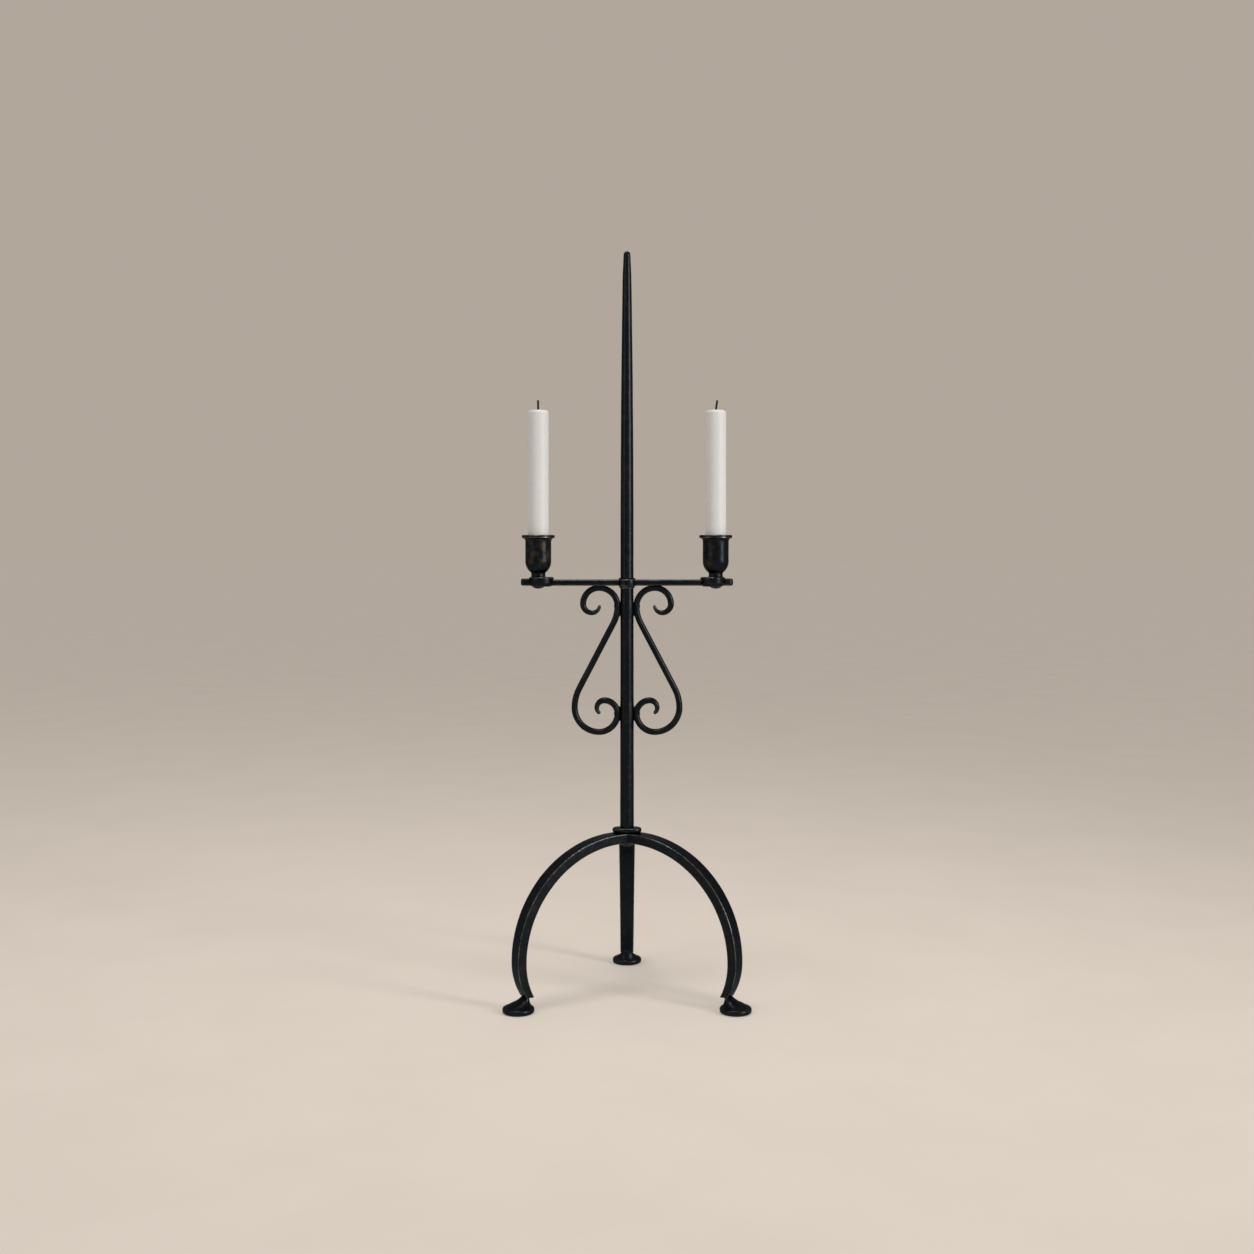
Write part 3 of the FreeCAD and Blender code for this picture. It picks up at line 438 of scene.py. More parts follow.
class Tree:
    """The node tree of one material."""

    def __init__(self, name: str) -> None:
        """Starts a new material with an empty tree.

        Args:
            name: The material's name.
        """
        material = bpy.data.materials.new(name)
        material.use_nodes = True
        self.nodes, self.links = material.node_tree.nodes, material.node_tree.links
        self.nodes.clear()

    def node(self, kind: str, settings: Values, sockets: Values) -> bpy.types.Node:
        """Adds one node.

        Args:
            kind: The node's type.
            settings: Its settings, which are set first.
            sockets: The values or wires of its inputs.

        Returns:
            The node.
        """
        node = self.nodes.new(kind)
        for key, value in settings.items():
            setattr(node, key, value)
        for key, value in sockets.items():
            if isinstance(value, Wire):
                self.links.new(value.socket, node.inputs[key])
            else:
                node.inputs[key].default_value = value
        return node

    def add(self, kind: str, settings: Values, sockets: Values, out: Any = 0) -> Wire:
        """Adds one node and takes up one of its outputs."""
        return Wire(self, self.node(kind, settings, sockets).outputs[out])

    def maths(self, operation: str, first: Wire | float, second: Wire | float) -> Wire:
        """Adds a Math node."""
        return self.add("ShaderNodeMath", {"operation": operation}, {0: first, 1: second})

    def place(self) -> Wire:
        """The point on the piece, in metres."""
        return self.add("ShaderNodeTexCoord", {}, {}, "Object")

    def clouds(self, place: Wire, scale: float, detail: float = 3.0, rough: float = 0.5) -> Wire:
        """Soft noise from 0 to 1, with scale spots to a metre."""
        inputs = {"Vector": place, "Scale": scale, "Detail": detail, "Roughness": rough}
        return self.add("ShaderNodeTexNoise", {}, inputs, "Fac")

    def dents(self, place: Wire, scale: float) -> Wire:
        """Shallow round dents, with scale of them to a metre."""
        inputs = {"Vector": place, "Scale": scale, "Smoothness": 0.6}
        return self.add("ShaderNodeTexVoronoi", {"feature": "SMOOTH_F1"}, inputs, "Distance")

    def ease(self, value: Wire, low: float, high: float) -> Wire:
        """Rises smoothly from 0 at low to 1 at high."""
        inputs = {"Value": value, "From Min": low, "From Max": high}
        return self.add("ShaderNodeMapRange", {"interpolation_type": "SMOOTHSTEP"}, inputs)

    def blend(self, mask: Wire, first: Wire | Colour, second: Wire | Colour) -> Wire:
        """Goes from the first colour to the second as the mask goes from 0 to 1."""
        return self.add("ShaderNodeMix", {"data_type": "RGBA"}, {0: mask, 6: first, 7: second}, 2)

    def bump(self, height: Wire, strength: float, depth: float) -> Wire:
        """The normal of a surface with a fine relief, depth in metres."""
        return self.add("ShaderNodeBump", {}, {"Height": height, "Strength": strength, "Distance": depth})

    def surface(self, **inputs: Any) -> None:
        """Ends the tree in a Principled shader.

        Args:
            inputs: The values or wires of its inputs, with _ for each space.
        """
        sockets = {key.replace("_", " "): value for key, value in inputs.items()}
        shader = self.add("ShaderNodeBsdfPrincipled", {}, sockets)
        self.node("ShaderNodeOutputMaterial", {}, {"Surface": shader})


@dataclass(frozen=True)
class Finish:
    """What a piece is made of."""

    name: str
    slot: str

    def dress(self, tree: Tree) -> None:
        """Fills the tree of the finish's material."""
        raise NotImplementedError

    def material(self) -> bpy.types.Material:
        """Makes the finish's material when it is first asked for.

        Returns:
            The material.
        """
        if self.name not in bpy.data.materials:
            self.dress(Tree(self.name))
        return bpy.data.materials[self.name]


@dataclass(frozen=True)
class BlackenedIron(Finish):
    """Forged iron, blackened in oil, with brown left in places and sharp edges painted brighter, partly as
    rubbed wear and partly as a painted highlight.
    """

    name: str = "blackened_iron"
    slot: str = "iron"
    oil_black: Colour = (0.0125, 0.0155, 0.0195, 1.0)
    dull_grey: Colour = (0.024, 0.0285, 0.0335, 1.0)
    scale_brown: Colour = (0.056, 0.042, 0.027, 1.0)
    # A brighter grey for sharp edges: partly rubbed wear, partly a painted highlight along them.
    rubbed_and_highlight: Colour = (0.2, 0.208, 0.212, 1.0)
    edge_tint: Colour = (0.52, 0.55, 0.6, 1.0)
    brown_share: float = 0.12
    patch_scale: float = 34.0
    mottle_scale: float = 150.0
    grain_scale: float = 1150.0
    dent_scale: float = 125.0
    relief_depth: float = 0.0007

    def dress(self, tree: Tree) -> None:
        """Fills the tree of the finish's material.

        Args:
            tree: The tree, still empty.
        """
        place = tree.place()
        patches = tree.clouds(place, self.patch_scale)
        mottle = tree.clouds(place, self.mottle_scale, 5.0, 0.62)
        grain = tree.clouds(place, self.grain_scale, 2.0, 0.6)
        dents = tree.dents(place, self.dent_scale)
        wear_and_highlight = tree.add("ShaderNodeAttribute", {"attribute_name": EDGE_WEAR_AND_HIGHLIGHT}, {}, "Fac")

        brown = tree.ease(patches * 0.5 + mottle * 0.5, 0.44, 0.62) * self.brown_share
        grey = tree.ease(mottle, 0.5, 0.72)
        # Sharp edges are painted brighter: partly rubbed wear, partly a painted highlight that stands in for
        # light glinting along them.
        rub_and_highlight = wear_and_highlight * tree.ease(mottle * 0.6 + grain * 0.4, 0.34, 0.62)
        colour = tree.blend(grey * 0.6, self.oil_black, self.dull_grey)
        colour = tree.blend(brown, colour, self.scale_brown)
        colour = tree.blend(rub_and_highlight * 0.7, colour, self.rubbed_and_highlight)

        rough = 0.25 + 0.13 * mottle + 0.12 * brown - 0.05 * rub_and_highlight + 0.05 * grain
        relief = dents * 0.50 + mottle * 0.38 + grain * 0.12
        tree.surface(
            Base_Color=colour, Roughness=rough, Metallic=1.0, Specular_Tint=self.edge_tint,
            Normal=tree.bump(relief, 0.3, self.relief_depth))


@dataclass(frozen=True)
class CandleWax(Finish):
    """White candle wax, a little translucent, with a faint bloom and drawn streaks."""

    name: str = "candle_wax"
    slot: str = "wax"
    white: Colour = (0.64, 0.655, 0.67, 1.0)
    bloom: Colour = (0.655, 0.668, 0.68, 1.0)
    shade: Colour = (0.61, 0.615, 0.62, 1.0)
    drawn_out: Point = (1.0, 1.0, 0.08)
    streak_scale: float = 420.0
    haze_scale: float = 90.0
    speck_scale: float = 1400.0
    glow_colour: Point = (1.0, 0.72, 0.45)
    glow_reach: float = 0.004
    relief_depth: float = 0.0004

    def dress(self, tree: Tree) -> None:
        """Fills the tree of the finish's material.

        Args:
            tree: The tree, still empty.
        """
        place = tree.place()
        drawn = tree.add("ShaderNodeMapping", {}, {"Vector": place, "Scale": self.drawn_out})
        streaks = tree.clouds(drawn, self.streak_scale)
        haze = tree.clouds(place, self.haze_scale, 4.0, 0.55)
        specks = tree.clouds(place, self.speck_scale, 1.0)
        colour = tree.blend(tree.ease(haze, 0.42, 0.68), self.white, self.bloom)
        colour = tree.blend(tree.ease(streaks, 0.56, 0.78) * 0.35, colour, self.shade)
        rough = 0.36 + 0.16 * haze + 0.08 * streaks
        relief = streaks * 0.5 + haze * 0.4 + specks * 0.1
        tree.surface(
            Base_Color=colour, Roughness=rough, Subsurface_Weight=0.35, Specular_IOR_Level=0.45,
            Subsurface_Radius=self.glow_colour, Subsurface_Scale=self.glow_reach,
            Normal=tree.bump(relief, 0.1, self.relief_depth))


@dataclass(frozen=True)
class CharredWick(Finish):
    """Braided cotton, burnt black, with a brown foot where wax has soaked it."""

    name: str = "charred_wick"
    slot: str = "wick"
    char: Colour = (0.004, 0.0037, 0.0034, 1.0)
    ash: Colour = (0.016, 0.015, 0.014, 1.0)
    waxed: Colour = (0.03, 0.021, 0.014, 1.0)
    foot: float = 619.4
    burnt: float = 622.4
    fibre_scale: float = 2600.0
    crumb_scale: float = 900.0
    relief_depth: float = 0.0003

    def dress(self, tree: Tree) -> None:
        """Fills the tree of the finish's material.

        Args:
            tree: The tree, still empty.
        """
        place = tree.place()
        height = tree.add("ShaderNodeSeparateXYZ", {}, {"Vector": place}, "Z")
        fibres = tree.clouds(place, self.fibre_scale, 3.0, 0.65)
        crumbs = tree.clouds(place, self.crumb_scale, 2.0)
        burnt = tree.ease(height + crumbs * 0.0012, self.foot * MM, self.burnt * MM)
        colour = tree.blend(tree.ease(fibres, 0.52, 0.72) * 0.6, self.char, self.ash)
        colour = tree.blend((1.0 - burnt) * 0.8, colour, self.waxed)
        tree.surface(
            Base_Color=colour, Roughness=0.78 + 0.2 * fibres,
            Normal=tree.bump(fibres, 0.5, self.relief_depth))


@dataclass(frozen=True)
class PaleFloor(Finish):
    """A plain pale floor, lifted so that it meets the sky without a line."""

    name: str = "pale_floor"
    slot: str = ""
    tone: Colour = (0.62, 0.56, 0.49, 1.0)
    worn: Colour = (0.6, 0.54, 0.47, 1.0)
    haze_scale: float = 6.0

    def dress(self, tree: Tree) -> None:
        """Fills the tree of the finish's material.

        Args:
            tree: The tree, still empty.
        """
        haze = tree.clouds(tree.place(), self.haze_scale, 5.0, 0.6)
        colour = tree.blend(tree.ease(haze, 0.35, 0.65), self.tone, self.worn)
        lift = tuple(light * (1.0 - tone) for light, tone in zip(SKY, self.tone))
        tree.surface(
            Base_Color=colour, Roughness=0.9, Specular_IOR_Level=0.1,
            Emission_Color=(*lift[:3], 1.0), Emission_Strength=1.0)


IRON = BlackenedIron()
CUP_IRON = BlackenedIron(name="browned_iron", brown_share=0.85)
WAX = CandleWax()
WICK = CharredWick()


@dataclass
class Stem:
    """The round bar that tapers to a blunt spike, riveted over under the hub."""

    tenon_radius: float = 4.5
    peen_radius: float = 6.5
    peen_height: float = 3.5
    rove_under: float = 160.275
    collar_top: float = 177.675
    foot_radius: float = 7.4
    bar_radius: float = 7.0
    eye_under: float = 433.5
    spike_start: float = 485.1
    spike_shoulder: float = 764.0
    shoulder_radius: float = 4.8
    nose_radius: float = 3.7
    tip: float = 788.0
    swell: float = 0.4
    swell_reach: float = 8.0
    joins: Pair = (298.45, 410.0)
    seat: float = 1.0
    seat_chamfer: float = 0.5
    sides: int = 48
    marks: Marks = Marks(0.16, 17.0, 3.1)

    def outline(self, shape: Shape) -> None:
        """Draws half of the stem's side view.

        Args:
            shape: What it is drawn in.
        """
        low, seat = self.rove_under - self.peen_height, self.collar_top - self.seat
        rise, drop = self.spike_shoulder - self.spike_start, self.bar_radius - self.shoulder_radius
        dome, lean = arched(self.peen_radius, self.peen_height)
        flank, taper = arched(rise, drop)
        nose = self.tip - self.nose_radius
        pen = Pen(shape, 0.0, low).arc(0.0, low + dome, lean)
        pen.line(self.tenon_radius, self.rove_under).line(self.tenon_radius, seat, 4)
        pen.line(self.foot_radius - self.seat_chamfer, seat).line(self.foot_radius, self.collar_top)
        pen.line(self.bar_radius, self.eye_under, 76)
        pen.line(self.bar_radius, self.spike_start, 10)
        pen.arc(self.bar_radius - flank, self.spike_start, taper, 64)
        pen.line(self.nose_radius, nose, 6)
        pen.arc(0.0, nose, 90.0, 8)

    def build(self) -> None:
        """Turns the stem and swells it a little where the scrolls are joined to it."""
        shape = Shape()
        self.outline(shape)
        shape.turn(self.sides)
        for vert in shape.mesh.verts:
            near = max(math.exp(-((vert.co.z - join) / self.swell_reach) ** 2) for join in self.joins)
            vert.co += Vector((vert.co.x, vert.co.y, 0.0)).normalized() * self.swell * near
        shape.hammer(self.marks)
        shape.piece("stem", "bar", IRON)


@dataclass
class Hub:
    """The oblong collar over the leg ends and the rove under them."""

    collar_length: float = 31.0
    collar_depth: float = 17.6
    collar_under: float = 172.475
    collar_height: float = 5.2
    collar_edge: float = 2.0
    rove_radius: float = 8.5
    rove_under: float = 160.275
    rove_height: float = 2.0
    rove_edge: float = 0.6
    collar_marks: Marks = Marks(0.14, 7.0, 6.2)
    rove_marks: Marks = Marks(0.1, 7.0, 8.1)

    def collar(self) -> None:
        """Forges the collar."""
        shape = Shape()
        shape.plate(self.collar_length, self.collar_depth, self.collar_height, self.collar_edge)
        shape.hammer(self.collar_marks)
        shape.move(up=self.collar_under + self.collar_height / 2)
        shape.piece("hub_collar", "forged", IRON)

    def rove(self) -> None:
        """Turns the rove."""
        shape = Shape()
        edge, flat, half = self.rove_edge, self.rove_radius - self.rove_edge, self.rove_height / 2
        pen = Pen(shape, 0.0, -half).line(flat, -half, 5).arc(flat, edge - half, 90.0, 7)
        pen.line(self.rove_radius, half - edge).arc(flat, half - edge, 90.0, 7).line(0.0, half, 5)
        shape.turn()
        shape.hammer(self.rove_marks)
        shape.move(up=self.rove_under + self.rove_height / 2)
        shape.piece("hub_rove", "turned", IRON)

    def build(self) -> None:
        """Makes the collar and the rove."""
        self.collar()
        self.rove()


@dataclass
class Tripod:
    """Three bent flat bars, mitred together at the hub, each on a round foot."""

    hub_top: float = 172.475
    thickness: float = 10.2
    hub_width: float = 18.4
    ankle_width: float = 15.2
    edge: float = 1.0
    level_run: float = 10.0
    bend_level: float = 50.275
    ankle_height: float = 15.3
    ankle_radius: float = 66.0
    ankle_inner_radius: float = 75.0
    ankle_parts: int = 12
    mitre: float = 60.0
    foot_reach: float = 127.871
    foot_radius: float = 16.4
    foot_rim: float = 6.3
    foot_edge: float = 2.6
    foot_crown: float = 4.4
    neck_low: Section = (6.3, -0.5, 13.3, 13.3)
    neck_middle: Section = (11.0, -5.0, 7.0, 8.0)
    neck_high: Section = (15.3, -8.4, 2.7, 6.7)
    neck_start: float = 0.4
    leg_marks: Marks = Marks(0.18, 15.0)
    foot_marks: Marks = Marks(0.1, 8.0, 0.5)

    def bar_ring(self, shape: Shape) -> Sweep:
        """Draws the bar's section where it leaves the stem's axis.

        Args:
            shape: What it is drawn in.

        Returns:
            The section, ready to be drawn out along X.
        """
        half, rise, edge = self.hub_width / 2, self.thickness / 2, self.edge
        pen = Pen(shape, half, 0.0).line(half, rise - edge, 3)
        pen.arc(half - edge, rise - edge, 90.0, 4).line(0.0, rise, 3)
        shape.quarters()
        shape.swing(90.0)
        shape.move(up=self.hub_top - rise)
        return Sweep(shape, list(shape.mesh.verts))

    def ankle(self, bar: Sweep) -> None:
        """Draws the bar in and down to its level end, thinner as it goes.

        Args:
            bar: The bar, at the lower end of its main bend.
        """
        outer = self.level_run + self.hub_top - self.bend_level
        inner = outer - self.thickness
        outer_centre, inner_centre = outer - self.ankle_radius, inner - self.ankle_inner_radius
        thick, drop = self.thickness, (self.bend_level - self.ankle_height) / self.ankle_parts
        for count in range(1, self.ankle_parts + 1):
            out_face = outer_centre + math.sqrt(self.ankle_radius ** 2 - (drop * count) ** 2)
            in_face = inner_centre + math.sqrt(self.ankle_inner_radius ** 2 - (drop * count) ** 2)
            shift = Vector(((out_face + in_face) / 2 - bar.middle().x, 0.0, -drop))
            bar.resize(Vector(((out_face - in_face) / thick, 1.0, 1.0)), shift)
            thick = out_face - in_face

    def leg(self, place: LegPlace) -> None:
        """Bends one leg.

        Args:
            place: Where it points.
        """
        shape = Shape()
        bar = self.bar_ring(shape)
        bar.cap()
        bar.run(Vector((self.level_run, 0.0, 0.0)), 4)
        bar.bend(Vector((self.level_run, 0.0, self.bend_level)), -90.0, 40)
        self.ankle(bar)
        bar.cap()
        shape.close()
        drop = self.hub_top - self.ankle_height
        for vert in shape.mesh.verts:
            share = (self.hub_top - vert.co.z) / drop
            vert.co.y *= 1.0 + (self.ankle_width / self.hub_width - 1.0) * share
        slant = math.radians(self.mitre)
        for side in Side:
            shape.cut((0.0, 0.0, 0.0), (-math.sin(slant), side.value * math.cos(slant), 0.0))
        shape.hammer(self.leg_marks, place.value)
        shape.swing(place.value)
        shape.piece(f"leg_{place.word}", "forged", IRON)

    def neck_at(self, height: float) -> Section:
        """Runs a smooth curve through the three sections of a foot's neck.

        Args:
            height: The height asked for.

        Returns:
            The section there, widened to the foot's crown: its height, the shift of its middle, half its
            thickness and half its width.
        """
        sections = (self.neck_low, self.neck_middle, self.neck_high)
        weights = [
            math.prod((height - other[0]) / (one[0] - other[0]) for other in sections if other is not one)
            for one in sections
        ]
        shift, along, wide = (
            sum(weight * one[number] for weight, one in zip(weights, sections)) for number in (1, 2, 3))
        share = (height - self.foot_rim) / self.foot_crown
        if share < 1.0:
            crown = (self.foot_radius - self.foot_edge) * math.sqrt(1.0 - share)
            outer, inner = max(shift + along, crown), min(shift - along, -crown)
            shift, along, wide = (outer + inner) / 2, (outer - inner) / 2, max(wide, crown)
        return height, shift, along, wide

    def foot(self, place: LegPlace, parts: int = 6) -> None:
        """Draws one round foot up from the floor to the end of its neck.

        Args:
            place: Where its leg points.
            parts: The steps of the rim's rounding, and half those of the neck.
        """
        shape = Shape()
        flat, edge = self.foot_radius - self.foot_edge, self.foot_edge
        sweep = shape.ring(flat)
        sweep.cap()
        rounding = [(edge, count) for count in range(1 - parts, 1)]
        rounding += [(self.foot_rim - edge, count) for count in range(parts + 1)]
        rims = [(level, edge * facing(90.0 * count / parts)) for level, count in rounding]
        stages = [(level + out.z, 0.0, flat + out.x, flat + out.x) for level, out in rims]
        low, high = self.neck_low[0], self.neck_high[0]
        rise = (high - low) / (2 * parts)
        stages += [self.neck_at(low + rise * (count + self.neck_start)) for count in range(2 * parts)]
        stages.append(self.neck_high)
        now = (0.0, 0.0, flat, flat)
        for stage in stages:
            height, shift, along, wide = stage
            growth = Vector((along / now[2], wide / now[3], 1.0))
            sweep.resize(growth, Vector((shift - now[1], 0.0, height - now[0])))
            now = stage
        sweep.cap()
        shape.close()
        shape.hammer(self.foot_marks, place.value)
        shape.move(across=self.foot_reach)
        shape.swing(place.value)
        shape.piece(f"foot_{place.word}", "forged", IRON)

    def build(self) -> None:
        """Makes the three legs and their feet."""
        for place in LegPlace:
            self.leg(place)
            self.foot(place)


@dataclass
class CrossBar:
    """The bar with an eye round the stem, a round boss below each cup and a thicker tongue at each end."""

    level: float = 437.3
    length: float = 225.0
    thickness: float = 6.6
    depth: float = 9.0
    edge: float = 2.0
    arm: float = 94.0
    boss_radius: float = 13.2
    boss_rise: float = 6.0
    boss_drop: float = 4.3
    boss_edge: float = 1.4
    boss_slope: float = 4.6
    boss_keel: float = 1.0
    boss_shift: float = 3.2
    tongue_length: float = 28.5
    tongue_thickness: float = 7.7
    eye_radius: float = 9.8
    eye_height: float = 7.6
    eye_edge: float = 1.4
    eye_fillet: float = 1.1
    bore: float = 6.8
    marks: Marks = Marks(0.12, 9.0, 5.7)

    def boss(self, shape: Shape) -> None:
        """Turns one boss, flat on top and rounded off below, about the origin.

        Args:
            shape: What it is made in.
        """
        flat, depth = self.boss_radius - self.boss_slope, self.boss_drop - self.boss_keel
        dome, lean = arched(self.boss_slope, depth)
        edge, shoulder = self.boss_radius - self.boss_edge, self.boss_rise - self.boss_edge
        pen = Pen(shape, 0.0, -self.boss_drop).line(flat, -self.boss_drop, 4)
        pen.arc(flat, dome - self.boss_drop, lean, 8).line(self.boss_radius, shoulder, 4)
        pen.arc(edge, shoulder, 90.0, 6).line(0.0, self.boss_rise, 5)
        shape.turn()

    def tongue(self, shape: Shape, side: Side) -> None:
        """Thickens one end of the bar upwards, from inside its boss to its tip.

        Args:
            shape: What it is made in.
            side: The arm that it ends.
        """
        end = Shape()
        end.plate(self.tongue_length, self.depth, self.tongue_thickness, self.edge)
        out = (self.length - self.tongue_length) / 2
        end.move(across=out * side.value, up=(self.tongue_thickness - self.thickness) / 2)
        shape.join(end)

    def eye(self, shape: Shape) -> None:
        """Turns the eye, with a small fillet up and down the stem.

        Args:
            shape: What it is made in.
        """
        half, flat = self.eye_height / 2, self.eye_radius - self.eye_edge
        fillet = self.bore + self.eye_fillet
        pen = Pen(shape, self.bore, -half - self.eye_fillet).arc(fillet, -half - self.eye_fillet, 90.0, 4)
        pen.line(flat, -half).arc(flat, -half + self.eye_edge, 90.0)
        pen.line(self.eye_radius, half - self.eye_edge).arc(flat, half - self.eye_edge, 90.0)
        pen.line(fillet, half).arc(fillet, half + self.eye_fillet, 90.0, 4)
        pen.line(self.bore, -half - self.eye_fillet)
        shape.turn()

    def build(self) -> None:
        """Makes the bar with its eye, bosses and tongues as one piece."""
        shape = Shape()
        shape.plate(self.length, self.depth, self.thickness, self.edge)
        self.eye(shape)
        for side in Side:
            middle = (self.arm - self.boss_shift) * side.value
            shape.move(across=-middle)
            self.boss(shape)
            shape.move(across=middle)
            self.tongue(shape, side)
        shape.hammer(self.marks)
        shape.move(up=self.level)
        shape.piece("crossbar", "forged", IRON)


@dataclass
class Cups:
    """The turned candle cups and the rivets that hold them on the bosses."""

    arm: float = 94.0
    boss_under: float = 433.0
    boss_top: float = 443.3
    base_radius: float = 8.5
    neck_radius: float = 7.5
    neck_top: float = 446.73
    neck_fillet: float = 2.0
    neck_lean: float = 54.0
    bowl_top: float = 459.8
    bowl_radius: float = 14.71
    wall_radius: float = 13.8
    rim_radius: float = 17.5
    rim_band: float = 3.2
    rim_top: float = 487.8
    rim_edge: float = 1.0
    bore: float = 11.3
    floor: float = 461.8
    sink_radius: float = 5.0
    sink_depth: float = 2.0
    head_radius: float = 6.0
    head_height: float = 2.2
    head_band: float = 0.5
    shank_radius: float = 3.0
    tail_slack: float = 0.1
    cup_sides: int = 72
    cup_marks: Marks = Marks(0.13, 8.0, step=2.3)
    rivet_sides: int = 40
    rivet_marks: Marks = Marks(0.08, 5.0, step=7.9)

    def cup(self, side: Side) -> None:
        """Turns one cup.

        Args:
            side: The arm that it stands on.
        """
        shape = Shape()
        cove, fillet = self.base_radius - self.neck_radius, self.neck_fillet
        bowl_middle = self.wall_radius - self.bowl_radius
        flare, band = self.rim_radius - self.wall_radius, self.rim_top - self.rim_band
        edge, lip, sink = self.rim_edge, self.rim_top - self.rim_edge, self.floor - self.sink_depth
        pen = Pen(shape, 0.0, self.boss_top).line(self.base_radius, self.boss_top, 3)
        pen.arc(self.base_radius, self.boss_top + cove, -90.0, 6)
        pen.line(self.neck_radius, self.neck_top, 2)
        pen.arc(self.neck_radius + fillet, self.neck_top, -self.neck_lean, 6)
        start = math.atan2(self.bowl_top - pen.tip.co.z, pen.tip.co.x - bowl_middle)
        pen.arc(bowl_middle, self.bowl_top, math.degrees(start), 9)
        pen.line(self.wall_radius, band - flare, 10)
        pen.arc(self.rim_radius, band - flare, -90.0, 8)
        pen.line(self.rim_radius, lip, 2).arc(self.rim_radius - edge, lip, 90.0, 5)
        pen.line(self.bore + edge, self.rim_top, 3).arc(self.bore + edge, lip, 90.0, 5)
        pen.line(self.bore, self.floor, 10).line(self.sink_radius, self.floor, 3)
        pen.line(self.sink_radius, sink).line(0.0, sink)
        shape.turn(self.cup_sides)
        shape.hammer(self.cup_marks, side.value)
        shape.move(across=self.arm * side.value)
        shape.piece(f"socket_{side.word}", "turned", CUP_IRON)

    def rivet(self, side: Side) -> None:
        """Turns one rivet, with its head below the boss and its tail in the cup's floor.

        Args:
            side: The arm that it holds.
        """
        shape = Shape()
        low = self.boss_under - self.head_height
        dome, lean = arched(self.head_radius, self.head_height - self.head_band)
        seat, slack = self.floor - self.sink_depth, self.tail_slack
        pen = Pen(shape, 0.0, low).arc(0.0, low + dome, lean, 7)
        pen.line(self.head_radius, self.boss_under, 2).line(self.shank_radius, self.boss_under)
        pen.line(self.shank_radius, seat).line(self.sink_radius - slack, seat)
        pen.line(self.sink_radius - slack, self.floor - slack).line(0.0, self.floor - slack)
        shape.turn(self.rivet_sides)
        shape.hammer(self.rivet_marks, side.value)
        shape.move(across=self.arm * side.value)
        shape.piece(f"socket_rivet_{side.word}", "head", IRON)

    def build(self) -> None:
        """Makes both cups and their rivets."""
        for side in Side:
            self.cup(side)
            self.rivet(side)


@dataclass(frozen=True)
class Curl:
    """One bend of a scroll's rod."""

    radius: float
    degrees: float
    taper: float = 1.0


